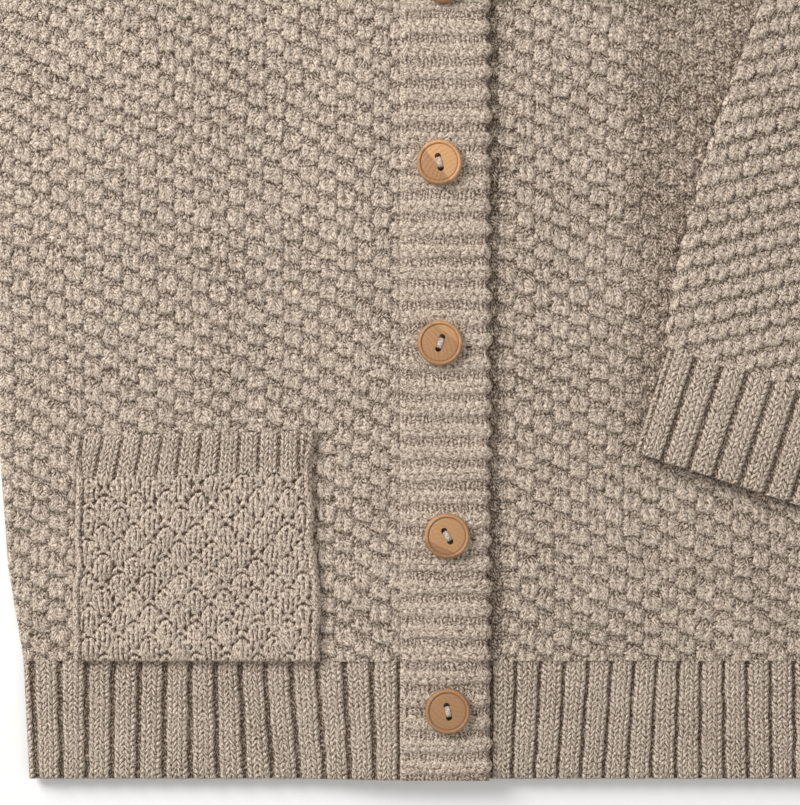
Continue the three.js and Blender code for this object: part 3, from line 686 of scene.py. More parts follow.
class Wires:
    """Short ways to lay and join nodes in one tree."""

    def __init__(self, tree: bpy.types.NodeTree) -> None:
        """Keeps the tree."""
        self.tree = tree

    def node(self, kind: str, given: Mapping[str, object] | None = None,
             **settings: object) -> bpy.types.Node:
        """Lays a node.

        Args:
            kind: The node's type.
            given: A value or a socket for each input it names.
            settings: The node's own settings.

        Returns:
            The node.
        """
        made = self.tree.nodes.new(kind)
        for key, value in settings.items():
            setattr(made, key, value)
        self.fill(made, given or {})
        return made

    def fill(self, node: bpy.types.Node, given: Mapping[str, object]) -> None:
        """Feeds the inputs of a node by their names."""
        for name, value in given.items():
            self.feed(node.inputs[name], value)

    def feed(self, socket: Socket, value: object) -> None:
        """Joins a socket to another, or sets its own value.

        Args:
            socket: The input.
            value: The other socket, or the value.
        """
        if isinstance(value, bpy.types.NodeSocket):
            self.tree.links.new(value, socket)
        else:
            socket.default_value = value

    def fed(self, made: bpy.types.Node, values: Sequence[object]) -> bpy.types.Node:
        """Feeds a node's inputs in their order and gives the node.

        Args:
            made: The node.
            values: A value or a socket for each input, from the first on.

        Returns:
            The same node.
        """
        for socket, value in zip(made.inputs, values):
            self.feed(socket, value)
        return made

    def maths(self, operation: str, *values: object) -> Socket:
        """Lays a math node and gives its result."""
        return self.fed(self.node("ShaderNodeMath", operation=operation), values).outputs[0]

    def vector(self, operation: str, *values: object) -> Socket:
        """Lays a vector math node and gives its result."""
        return self.fed(self.node("ShaderNodeVectorMath", operation=operation), values).outputs[0]

    def limited(self, value: Socket, most: float = 1.0) -> Socket:
        """Keeps a value between nothing and the most."""
        return self.maths("MINIMUM", self.maths("MAXIMUM", value, 0.0), most)

    def step(self, value: object, low: float, high: float, start: float = 0.0, end: float = 1.0) -> Socket:
        """Lays an eased step between two values."""
        made = self.node("ShaderNodeMapRange", interpolation_type="SMOOTHSTEP")
        return self.fed(made, (value, low, high, start, end)).outputs[0]

    def blend(self, share: object, first: object, second: object) -> Socket:
        """Lays a colour mix and gives its result.

        Args:
            share: Share of the second colour.
            first: The first colour.
            second: The second colour.

        Returns:
            The mixed colour.
        """
        made = self.node("ShaderNodeMix", data_type="RGBA")
        for socket, value in zip((made.inputs[0], made.inputs[6], made.inputs[7]), (share, first, second)):
            self.feed(socket, value)
        return made.outputs[2]

    def split(self, value: Socket) -> Sequence[Socket]:
        """Gives the parts of a vector."""
        return self.fed(self.node("ShaderNodeSeparateXYZ"), (value,)).outputs

    def noise(self, place: Socket, scale: float, detail: float, roughness: float = 0.5) -> bpy.types.Node:
        """Lays a flat noise."""
        given = {"Vector": place, "Scale": scale, "Detail": detail, "Roughness": roughness}
        return self.node("ShaderNodeTexNoise", given, noise_dimensions="2D")

    def bump(self, shader: bpy.types.Node, height: Socket, strength: float) -> None:
        """Gives a shader its bump from a height in millimetres."""
        made = self.node("ShaderNodeBump", {"Distance": MM, "Strength": strength, "Height": height})
        self.feed(shader.inputs["Normal"], made.outputs[0])

    def place(self, kind: "EffectGroup") -> bpy.types.Node:
        """Lays one of the shared effect groups."""
        return self.node("ShaderNodeGroup", node_tree=kind.tree())


def new_material(name: str) -> tuple[bpy.types.Material, Wires, bpy.types.Node]:
    """Starts a material and gives it with its wires and its shader.

    Args:
        name: The material's name.

    Returns:
        The material, its wires and its shader.
    """
    made = bpy.data.materials.new(name)
    made.use_nodes = True
    return made, Wires(made.node_tree), made.node_tree.nodes["Principled BSDF"]


class EffectGroup(Enum):
    """The shader effects that several finishes share."""

    MOSS = "moss_detail"
    RIB = "rib_detail"
    YARN = "yarn_strands"

    def tree(self) -> bpy.types.NodeTree:
        """The group's tree, built at its first use.

        Returns:
            The tree.
        """
        found = bpy.data.node_groups.get(self.value)
        if found:
            return found
        tree = bpy.data.node_groups.new(self.value, "ShaderNodeTree")
        lay = {
            EffectGroup.MOSS: self.lay_moss, EffectGroup.RIB: self.lay_rib, EffectGroup.YARN: self.lay_yarn}
        lay[self](tree)
        return tree

    def ends(self, tree: bpy.types.NodeTree, place: str, shares: Sequence[str],
             results: Sequence[str]) -> tuple[Wires, bpy.types.Node, bpy.types.Node]:
        """Makes a group's inputs and outputs.

        Args:
            tree: The group's tree.
            place: Name of the input that takes the place.
            shares: Names of the inputs that take a number.
            results: Names of the outputs.

        Returns:
            The tree's wires, its input node and its output node.
        """
        tree.interface.new_socket(place, in_out="INPUT", socket_type="NodeSocketVector")
        for way, names in (("INPUT", shares), ("OUTPUT", results)):
            for name in names:
                tree.interface.new_socket(name, in_out=way, socket_type="NodeSocketFloat")
        wires = Wires(tree)
        return wires, wires.node("NodeGroupInput"), wires.node("NodeGroupOutput")

    def lay_moss(self, tree: bpy.types.NodeTree) -> None:
        """Lays the nub pattern: height in millimetres, shade of gaps and creases, and each lump's slant.

        Args:
            tree: The group's empty tree.
        """
        stitch = DoubleMoss()
        wires, given, result = self.ends(tree, "Stitches", (), ("Height", "Gap", "Side"))
        u, v = self.ruffle(wires, given.outputs[0], (2.4, 1.4), (0.85, 1.4))
        column = wires.maths("FLOOR", wires.maths("MULTIPLY", u, 0.5))
        off = wires.maths("SUBTRACT", wires.maths("MULTIPLY_ADD", column, -2.0, u), 1.0)
        x = wires.maths("MULTIPLY", off, stitch.wale)
        other = wires.maths("MULTIPLY_ADD", wires.maths("SIGN", off), -2.0 * stitch.wale, x)
        odd = wires.maths("FLOORED_MODULO", column, 2.0)
        tall = 4 * stitch.course
        high = wires.maths("MULTIPLY", v, stitch.course)
        levels, lobes, shades = [], [], []
        for across, parity in ((x, odd), (other, wires.maths("SUBTRACT", 1.0, odd))):
            leant = wires.maths("MULTIPLY_ADD", across, stitch.skew, high)
            lifted = wires.maths("MULTIPLY_ADD", parity, tall / 2, leant)
            y = wires.maths("SUBTRACT", wires.maths("FLOORED_MODULO", lifted, tall), stitch.reach)
            inside, lump = self.lay_nub(wires, stitch, wires.maths("ABSOLUTE", across), y)
            dome = wires.maths("POWER", wires.maths("MAXIMUM", inside, 0.0), stitch.dome_power)
            slope = wires.step(y, stitch.foot, stitch.crown, stitch.foot_share, 1.0)
            levels.append(wires.maths("MULTIPLY", dome, slope))
            round_lump = wires.maths("SQRT", wires.maths("MAXIMUM", lump, 0.0))
            lobes.append(wires.maths("MULTIPLY", round_lump, wires.step(inside, 0.0, 0.1)))
            # Painted shade: a thin dark line just outside each nub's lower half, where it laps over the next.
            outside = wires.maths("LESS_THAN", inside, 0.0)
            edge = wires.maths("MULTIPLY", wires.step(inside, -0.44, -0.28), outside)
            shades.append(wires.maths("MULTIPLY", edge, wires.step(y, 1.4, -0.2)))
        level = wires.maths("MAXIMUM", levels[0], levels[1])
        higher = wires.maths("GREATER_THAN", levels[1], levels[0])
        lobe = wires.maths("MULTIPLY_ADD", wires.maths("SUBTRACT", lobes[1], lobes[0]), higher, lobes[0])
        shade = wires.maths("MAXIMUM", shades[0], shades[1])
        shade = wires.maths("MULTIPLY", shade, wires.step(level, 1.0, 0.5))
        # Painted shade on the low ground between nubs and in the creases between lumps, eased on the crests of
        # the legs.
        low = wires.step(level, 0.4, 0.1, 0.0, 0.33)
        crease = wires.step(lobe, 0.5, 0.15, 0.0, 0.42)
        crease = wires.maths("MULTIPLY", crease, wires.step(level, 0.1, 0.4))
        gap = wires.maths("MAXIMUM", wires.maths("MAXIMUM", low, shade), crease)
        legs = wires.maths("COSINE", wires.maths("MULTIPLY", x, 2 * math.pi / stitch.leg_pitch))
        legs = wires.maths("MULTIPLY", legs, wires.step(level, 0.3, 0.0))
        gap = wires.maths("MULTIPLY_ADD", legs, -0.15, gap)
        height = wires.maths("MULTIPLY_ADD", lobe, 0.5, wires.maths("MULTIPLY", level, 0.4))
        wires.fill(result, {
            "Height": wires.maths("MULTIPLY_ADD", legs, 0.15, height),
            "Gap": wires.maths("MAXIMUM", gap, 0.0),
            "Side": wires.maths("GREATER_THAN", off, 0.0)})

    def lay_nub(self, wires: Wires, stitch: DoubleMoss, x: Socket, y: Socket) -> tuple[Socket, Socket]:
        """Lays one nub's two shares, as DoubleMoss.nub works them out.

        Args:
            wires: The group's wires.
            stitch: The stitch.
            x: Distance from the nub's middle line.
            y: Height over the nub's middle.

        Returns:
            Both shares.
        """
        above = wires.maths("GREATER_THAN", y, 0.0)
        tall = wires.maths("MULTIPLY_ADD", above, stitch.upper - stitch.lower, stitch.lower)
        far_x = wires.maths("POWER", wires.maths("DIVIDE", x, stitch.half_width), stitch.power)
        far_y = wires.maths("POWER", wires.maths("DIVIDE", wires.maths("ABSOLUTE", y), tall), stitch.power)
        lump = stitch.flat_lump
        for at_x, at_y in stitch.lumps:
            aside, up = wires.maths("SUBTRACT", x, at_x), wires.maths("SUBTRACT", y, at_y)
            square = wires.maths("MULTIPLY_ADD", aside, aside, wires.maths("MULTIPLY", up, up))
            one = wires.maths("MULTIPLY_ADD", square, -1 / stitch.lump_size ** 2, 1.0)
            lump = wires.maths("MAXIMUM", one, lump)
        start = 1.0 - stitch.swelling * stitch.bulge
        inside = wires.maths("SUBTRACT", start, wires.maths("ADD", far_x, far_y))
        return wires.maths("MULTIPLY_ADD", lump, stitch.bulge, inside), lump

    def ruffle(self, wires: Wires, given: Socket, scale: tuple[float, float],
               amount: tuple[float, float]) -> tuple[Socket, Socket]:
        """Lays small uneven shifts on places in stitches.

        Args:
            wires: The group's wires.
            given: The places.
            scale: How closely the shifts follow each other, across and up.
            amount: The widest shift, across and up, in stitches.

        Returns:
            The shifted place across and up.
        """
        cloud = wires.noise(wires.vector("MULTIPLY", given, (*scale, 1.0)), 1.0, 1.3)
        moved = wires.split(wires.vector("MULTIPLY_ADD", cloud.outputs["Color"], (*amount, 0.0), given))
        across, up = (wires.maths("SUBTRACT", part, most / 2) for part, most in zip(moved, amount))
        return across, up

    def lay_rib(self, tree: bpy.types.NodeTree) -> None:
        """Lays the knit legs of a rib: height in millimetres, crease shade, and which way each leg slants.

        Args:
            tree: The group's empty tree.
        """
        wires, given, result = self.ends(tree, "Stitches", ("Channel", "Slant"), ("Height", "Gap", "Side"))
        u, v = self.ruffle(wires, given.outputs["Stitches"], (4.0, 0.9), (0.08, 0.7))
        channel = given.outputs["Channel"]
        part = wires.maths("FRACT", u)
        wide = wires.maths("SUBTRACT", 1.0, channel)
        w = wires.maths("DIVIDE", wires.maths("MULTIPLY_ADD", channel, -0.5, part), wide)
        legs = wires.maths("MULTIPLY", wires.limited(w, 0.9999), 4.0)
        leg = wires.maths("FLOOR", legs)
        p = wires.maths("SUBTRACT", legs, leg)
        odd = wires.maths("FLOORED_MODULO", leg, 2.0)
        way = wires.maths("MULTIPLY_ADD", odd, -2.0, 1.0)
        outer = wires.maths("GREATER_THAN", wires.maths("ABSOLUTE", wires.maths("SUBTRACT", leg, 1.5)), 1.0)
        less = wires.maths("MULTIPLY_ADD", outer, BroadRib.outer_slant - 1.0, 1.0)
        much = wires.maths("MULTIPLY", less, given.outputs["Slant"])
        aside = wires.maths("MULTIPLY", wires.maths("MULTIPLY", way, much), wires.maths("SUBTRACT", p, 0.5))
        q = wires.maths("FRACT", wires.maths("ADD", v, aside))
        along = wires.maths("POWER", wires.maths("SINE", wires.maths("MULTIPLY", q, math.pi)), 0.6)
        off = wires.maths("MULTIPLY_ADD", p, 2.0, -1.0)
        square = wires.maths("MULTIPLY", off, off)
        across = wires.maths("SQRT", wires.maths("MAXIMUM", wires.maths("SUBTRACT", 1.0, square), 0.0))
        raised = wires.maths("MULTIPLY", wires.step(w, 0.0, 0.02), wires.step(w, 1.0, 0.98))
        height = wires.maths("MULTIPLY_ADD", along, 0.5, wires.maths("MULTIPLY", across, 0.55))
        # Gap is painted shade: darker between the legs' loops, along their sides and in the channel, less on
        # the channel's bars.
        dark = wires.maths("MULTIPLY", wires.maths("SUBTRACT", 1.0, along), 0.8)
        dark = wires.maths("MULTIPLY_ADD", wires.step(across, 0.75, 0.1), 0.5, dark)
        bars = wires.maths("ABSOLUTE", wires.maths("COSINE", wires.maths("MULTIPLY", v, math.pi)))
        sunk = wires.maths("MULTIPLY_ADD", bars, -0.45, 1.0)
        wires.fill(result, {
            "Height": wires.maths("MULTIPLY", height, raised),
            "Gap": wires.maths("MULTIPLY_ADD", wires.maths("SUBTRACT", dark, sunk), raised, sunk),
            "Side": wires.maths("SUBTRACT", 1.0, odd)})

    def lay_yarn(self, tree: bpy.types.NodeTree) -> None:
        """Lays the spun strands, small loops, loose fibres and slow mottling of the yarn.

        Args:
            tree: The group's empty tree.
        """
        results = ("Strand", "Loop", "Crease", "Fibre", "Mottle")
        wires, given, result = self.ends(tree, "Place", ("Side", "Slant"), results)
        place = given.outputs["Place"]
        strands = []
        for way in (1.0, -1.0):
            angle = wires.maths("MULTIPLY", given.outputs["Slant"], way)
            turned = wires.node(
                "ShaderNodeVectorRotate", {"Vector": place, "Angle": angle}, rotation_type="Z_AXIS")
            drawn = wires.node("ShaderNodeMapping", {"Vector": turned.outputs[0], "Scale": (2.4, 0.95, 1.0)})
            strands.append(wires.noise(drawn.outputs[0], 1.0, 1.2, 0.55).outputs[0])
        chosen = wires.node("ShaderNodeMix", data_type="FLOAT")
        for socket, value in zip((chosen.inputs[0], chosen.inputs[2], chosen.inputs[3]),
                                 (given.outputs["Side"], *strands)):
            wires.feed(socket, value)
        cells = wires.node("ShaderNodeMapping", {"Vector": place, "Scale": (0.48, 0.62, 1.0)})
        spread = {"Vector": cells.outputs[0], "Scale": 1.0, "Randomness": 0.85}
        near, edge = (
            wires.node("ShaderNodeTexVoronoi", spread, voronoi_dimensions="2D", feature=feature)
            for feature in ("F1", "DISTANCE_TO_EDGE"))
        wires.fill(result, {
            "Strand": wires.step(chosen.outputs[0], 0.41, 0.6),
            "Loop": wires.step(near.outputs["Distance"], 0.75, 0.1),
            "Crease": wires.step(edge.outputs["Distance"], 0.13, 0.0),
            "Fibre": wires.noise(place, 2.8, 3.0, 0.55).outputs[0],
            "Mottle": wires.noise(place, 0.05, 3.0, 0.55).outputs[0]})


@dataclass(frozen=True)
class YarnFinish:
    """Undyed soft cotton yarn as it looks in one kind of stitch.

    The shares say how far the strands, the fibres and the slow mottling lighten it where they stand out;
    on the strands and the fibres this lightening is a painted highlight.
    """

    name: str
    stitch: Stitch
    slant: float = 0.65
    light: Colour = (0.78, 0.645, 0.525, 1.0)
    # The deep colour stands for painted shade; the tone also draws a little of it in everywhere.
    deep: Colour = (0.080, 0.047, 0.025, 1.0)
    strand_rise: float = 0.24
    fibre_rise: float = 0.12
    loop_rise: float = 0.25
    crease_shade: float = 0.3
    hollow_shade: float = 0.9
    detail_shade: float = 0.8
    # Painted highlight on the raised strands and fibres; the mottling is the yarn's own tone.
    strand_share: float = -0.72
    fibre_share: float = -0.9
    mottle_share: float = -0.3
    tone: float = 0.18
    roughness: float = 0.92
    bump: float = 0.8

    def material(self) -> bpy.types.Material:
        """The finish as a material, built at its first use.

        Returns:
            The material.
        """
        found = bpy.data.materials.get(self.name)
        if found:
            return found
        made, wires, shader = new_material(self.name)
        uv = wires.node("ShaderNodeUVMap", uv_map=UV_MAP).outputs[0]
        yarn = wires.place(EffectGroup.YARN)
        place = wires.vector("MULTIPLY", uv, (*self.stitch.unit(), 1.0))
        wires.fill(yarn, {"Place": place, "Slant": self.slant})
        strand, fibre, mottle = (yarn.outputs[name] for name in ("Strand", "Fibre", "Mottle"))
        # Painted shade carried by the mesh from the relief: crevices, gaps, slits and beside raised parts.
        shade = wires.node("ShaderNodeAttribute", attribute_name=SHADE)
        painted_shade = wires.maths("MULTIPLY", shade.outputs["Fac"], self.hollow_shade)
        height = wires.maths("MULTIPLY", strand, self.strand_rise)
        height = wires.maths("MULTIPLY_ADD", fibre, self.fibre_rise, height)
        height = wires.maths("MULTIPLY_ADD", yarn.outputs["Loop"], self.loop_rise, height)
        detail = self.detail(wires, uv)
        if detail:
            side = detail.outputs["Side"]
            # The stitch's painted shade in its gaps and creases.
            gap = wires.maths("MULTIPLY", detail.outputs["Gap"], self.detail_shade)
            painted_shade = wires.maths("MAXIMUM", painted_shade, gap)
            height = wires.maths("ADD", height, detail.outputs["Height"])
        else:
            side = wires.maths("GREATER_THAN", wires.maths("FRACT", wires.split(uv)[0]), 0.5)
        wires.feed(yarn.inputs["Side"], side)
        # Darkening share of the colour: painted shade and the yarn's own tone, then a painted highlight on the
        # raised strands and fibres and the yarn's own mottling.
        dark = wires.maths("ADD", painted_shade, self.tone)
        shares = (self.strand_share, self.fibre_share, self.mottle_share)
        for output, share in zip((strand, fibre, mottle), shares):
            dark = wires.maths("MULTIPLY_ADD", wires.maths("SUBTRACT", output, 0.5), share, dark)
        # Painted shade in the creases between the yarn's loops.
        dark = wires.maths("MULTIPLY_ADD", yarn.outputs["Crease"], self.crease_shade, dark)
        wires.fill(shader, {
            "Base Color": wires.blend(wires.limited(dark), self.light, self.deep),
            "Roughness": self.roughness,
            "Specular IOR Level": 0.25,
            "Sheen Weight": 0.2,
            "Sheen Roughness": 0.5,
            "Sheen Tint": (0.9, 0.84, 0.77, 1.0)})
        wires.bump(shader, height, self.bump)
        return made

    def detail(self, wires: Wires, uv: Socket) -> bpy.types.Node | None:
        """Lays the fine detail of the stitch, where it has one.

        Args:
            wires: The material's wires.
            uv: The places in stitches.

        Returns:
            The detail's group node, if there is one.
        """
        if isinstance(self.stitch, DoubleMoss):
            made = wires.place(EffectGroup.MOSS)
        elif isinstance(self.stitch, BroadRib):
            made = wires.place(EffectGroup.RIB)
            wires.fill(made, {"Channel": self.stitch.gap, "Slant": self.stitch.slant})
        else:
            return None
        wires.feed(made.inputs["Stitches"], uv)
        return made


def rib_finish(name: str, rib: BroadRib) -> YarnFinish:
    """The yarn as it looks in one of the ribs."""
    return YarnFinish(name, rib, slant=0.35, loop_rise=0.0, crease_shade=0.0, hollow_shade=1.0, tone=0.15)


MOSS_STITCH = DoubleMoss()
MOSS_YARN = YarnFinish("moss_yarn", MOSS_STITCH, hollow_shade=0.5, detail_shade=0.95)


@dataclass(frozen=True)
class Cut:
    """A piece's flat cut in millimetres, with what it lies on."""

    width: float
    length: float
    area: float
    rests_on: tuple[str, ...]


def dress(piece: bpy.types.Object, finish: YarnFinish, nodes: Sequence[str]) -> bpy.types.Object:
    """Gives a knitted piece its yarn and its body.

    Args:
        piece: The piece.
        finish: Its yarn finish.
        nodes: The solids it stands for.

    Returns:
        The same piece.
    """
    piece.data.materials.append(finish.material())
    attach(piece, "root")
    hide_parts(*nodes)
    LOG.info("%s: %d faces", piece.name, len(piece.data.polygons))
    return piece


@dataclass
class Back:
    """The back panel and its hem rib, stitched on the face that lies down."""

    spacing: float = 1.75
    inner_level: float = 3.0
    wall: float = 3.0
    rib_pitch: float = 8.2

    def build(self) -> list[bpy.types.Object]:
        """Makes both pieces.

        Returns:
            The panel and its rib.
        """
        rows = int((BODY.length - BODY.hem) / self.spacing)
        heights = np.linspace(BODY.hem + BODY.gap, BODY.shoulder_height, rows)
        panel = Panel(
            "back_cloth", MOSS_STITCH, heights, int(BODY.chest / self.spacing), self.limits,
            even(self.inner_level), self.wall, (1.0, 1.0, 0.4, 0.4), Face.DOWN, inner_columns=60,
            adjust=self.shaped)
        rib = BroadRib(pitch=self.rib_pitch)
        hem = Panel(
            "back_hem_cloth", rib, np.linspace(0, BODY.hem, 44), 300, self.limits, even(self.inner_level),
            self.wall, (1.0, 1.0, 1.0, 0.3), Face.DOWN, inner_columns=60, warp=0.1,
            stitches=lambda x, h: (x / BODY.outer_half(h) * BODY.hem_half / rib.pitch, h / rib.course))
        return [
            dress(panel.build(), MOSS_YARN, ["back"]),
            dress(hem.build(), rib_finish("back_rib_yarn", rib), ["back_hem_rib"])]

    def limits(self, height: Array) -> tuple[Array, Array]:
        """Left and right limits of the back at a height."""
        return -BODY.outer_half(height), BODY.outer_half(height)

    def shaped(self, placed: Placed, share: Array, height: Array) -> None:
        """Raises the top rows to the shoulders and the back neck.

        Args:
            placed: The placed points, changed in place.
            share: Share across the row.
            height: Height of the row.
        """
        grow = smooth(BODY.underarm_height, BODY.shoulder_height, height)
        x = (2 * share - 1) * BODY.shoulder_half
        added = grow * (BODY.back_top(x) - BODY.shoulder_height)
        placed.points[:, 1] += added
        placed.stitches[:, 1] += added / MOSS_STITCH.course


@dataclass
class Front:
    """One front panel with its hem rib."""

    side: Side
    spacing: float = 0.7
    rib_pitch: float = 8.7
    rib_gap: float = 0.25
    lean: float = 2.2
    sleeve_heights: tuple[float, ...] = (109.3, 145.0, 198.3, 265.0)
    sleeve_edge: tuple[float, ...] = (63.0, 71.0, 83.3, 100.0)
    cuff_places: tuple[float, ...] = (63.0, 106.7)
    cuff_edge: tuple[float, ...] = (109.3, 95.3)

    def limits(self, height: Array) -> tuple[Array, Array]:
        """Left and right limits of the panel at a height.

        Args:
            height: Heights over the hem's lower edge, in millimetres.

        Returns:
            Both limits.
        """
        sewn = 0.6 * smooth(BODY.underarm_height, BODY.underarm_height + 6, height)
        inner, outer = BODY.inner_half(height), BODY.outer_half(height) + sewn
        return (inner, outer) if self.side is Side.LEFT else (-outer, -inner)

    def build(self) -> list[bpy.types.Object]:
        """Makes the panel and its rib.

        Returns:
            Both pieces.
        """
        name = self.side.name.lower()
        rows = int((BODY.length - BODY.hem) / self.spacing)
        heights = np.linspace(BODY.hem - 0.4, BODY.length - 0.4, rows)
        right = self.side is Side.RIGHT
        drops = (2.0, 1.3, 0.1, 0.8) if right else (1.3, 2.0, 0.1, 0.8)
        hem_drops = (2.0, 0.1, 1.6, 0.1) if right else (0.1, 2.0, 1.6, 0.1)
        panel = Panel(
            f"{name}_front_cloth", MOSS_STITCH, heights, int(135 / self.spacing), self.limits,
            BODY.front_under, BODY.wall, drops, sewn_above=BODY.underarm_height, extra=self.shaded)
        piece = dress(panel.build(), MOSS_YARN, [f"{name}_front"])
        rib = BroadRib(pitch=self.rib_pitch, gap=self.rib_gap)
        hem = Panel(
            f"{name}_hem_cloth", rib, np.linspace(0, BODY.hem, 98), 295, self.limits, self.hem_under,
            BODY.wall, hem_drops, warp=0.25, stitches=self.rib_places)
        finish = rib_finish(f"{name}_rib_yarn", rib)
        return [piece, dress(hem.build(), finish, [f"{name}_hem_rib"])]

    def shaded(self, x: Array, height: Array, left: Array, right: Array, relief: Relief) -> Relief:
        """Deepens the shade of the cloth close beside the upper band and the folded sleeve.

        Args:
            x: Places across, in millimetres.
            height: Heights over the hem's lower edge, in millimetres.
            left: Distances from the left edge.
            right: Distances from the right edge; not used.
            relief: The stitch's own relief.

        Returns:
            The relief with its shade deepened.
        """
        if self.side is Side.RIGHT:
            return relief
        beside = np.interp(height, self.sleeve_heights, self.sleeve_edge) - x
        below = np.interp(x, self.cuff_places, self.cuff_edge) - height
        # Painted shade beside the folded sleeve's edge and below the cuff's end, and a painted shadow of the
        # band on the cloth along its edge.
        shade = 0.5 * smooth(8.0, 0.0, beside) * smooth(104, 112, height)
        shade = np.maximum(shade, 0.5 * smooth(7.0, 0.0, below) * smooth(57, 65, x))
        uneven = 1.6 * drift(height / 4.7, x / 6.0, 12.0)
        shade = np.maximum(shade, 0.85 * smooth(8.0, 0.5, left - 2.0 + uneven))
        return Relief(relief.height, np.clip(relief.painted_shade + shade, 0, 1))

    def hem_under(self, x: Array, height: Array) -> Array:
        """Level of the hem rib's underside."""
        return BODY.front_level + np.where(x < 0, BODY.lift(x), 0.0)

    def rib_places(self, x: Array, height: Array) -> tuple[Array, Array]:
        """Places across in ribs and up in courses, with the ribs leaning as they fan out.

        Args:
            x: Places across, in millimetres.
            height: Heights over the hem's lower edge, in millimetres.

        Returns:
            Both places.
        """
        edge = BODY.band_half + BODY.gap
        far = (np.abs(x) - edge) / (BODY.outer_half(height) - edge)
        lean = self.lean * np.sin(2 * math.pi * far) * (height / BODY.hem - 0.5)
        width = BODY.hem_half - edge
        return self.side.value * (far - lean / width) * width / self.rib_pitch, height / MOSS_STITCH.course


@dataclass
class Bands:
    """The buttonhole band over the button band."""

    wall: float = 2.8
    ridge: CrossRidge = CrossRidge()
    scallop: float = 0.8
    uneven: float = 0.6
    slit_drop: float = 1.2
    slit_start: float = 8.2
    slit_offset: float = 4.25
    slit_half: float = 6.25
    slit_width: float = 0.55
    slit_depth: float = 2.4

    def build(self) -> list[bpy.types.Object]:
        """Makes both bands.

        Returns:
            The buttonhole band and the button band.
        """
        finish = YarnFinish("band_yarn", self.ridge, slant=0.9, crease_shade=0.15, loop_rise=0.12)
        top = Panel(
            "buttonhole_band_cloth", self.ridge, np.linspace(0, BODY.band_top, 550), 70, self.limits,
            even(BODY.band_level), self.wall + 0.75, (1.1, 2.2, 1.2, 1.0), inner_columns=5, warp=0.5,
            extra=self.worked)
        under = Panel(
            "button_band_cloth", self.ridge, np.linspace(0, BODY.band_top, 260), 30,
            lambda h: (np.full_like(h, -BODY.band_half), np.full_like(h, BODY.band_half)),
            even(BODY.front_level), 2.6, (0.5, 0.5, 0.8, 0.8), inner_columns=5, warp=0.1)
        return [
            dress(top.build(), finish, ["buttonhole_band"]),
            dress(under.build(), finish, ["button_band"])]

    def limits(self, height: Array) -> tuple[Array, Array]:
        """Band edges, the free one drawn in between ridges.

        Args:
            height: Heights over the hem's lower edge, in millimetres.

        Returns:
            The left and the right edge.
        """
        ridges = height / (3 * self.ridge.course)
        scallop = self.scallop * np.cos(2 * math.pi * (ridges - 2.0 / 3.0))
        scallop = scallop + self.uneven * drift(height / 3.1, 0 * height, 7.0)
        return np.full_like(height, -BODY.band_half), BODY.band_half - 0.2 + scallop

    def worked(self, x: Array, height: Array, left: Array, right: Array, relief: Relief) -> Relief:
        """Adds the flats beneath the buttons and the buttonholes.

        Args:
            x: Places across, in millimetres.
            height: Heights over the hem's lower edge, in millimetres.
            left: Distances from the left edge; not used.
            right: Distances from the right edge; not used.
            relief: The stitch's own relief.

        Returns:
            The relief with both.
        """
        shape, painted_shade = relief.height, relief.painted_shade
        for spec in BUTTONS:
            near = np.hypot(x - spec.x, height - spec.height)
            flat = smooth(11.0, 7.0, near)
            shape = mix(shape, -0.75 + 0.3 * (shape + 0.5), flat)
            part = (x - (spec.x + self.slit_offset)) / self.slit_half
            lens = self.slit_width * np.sqrt(np.maximum(0, 1 - part * part))
            far = np.abs(height - spec.height + self.slit_drop) / np.maximum(lens, 0.05)
            slit = (x - spec.x > self.slit_start) * smooth(0.9, 0.3, far) * (np.abs(part) < 1)
            shape = shape - self.slit_depth * slit
            # Painted shade inside each buttonhole slit.
            painted_shade = np.maximum(painted_shade, slit)
        return Relief(shape, painted_shade)


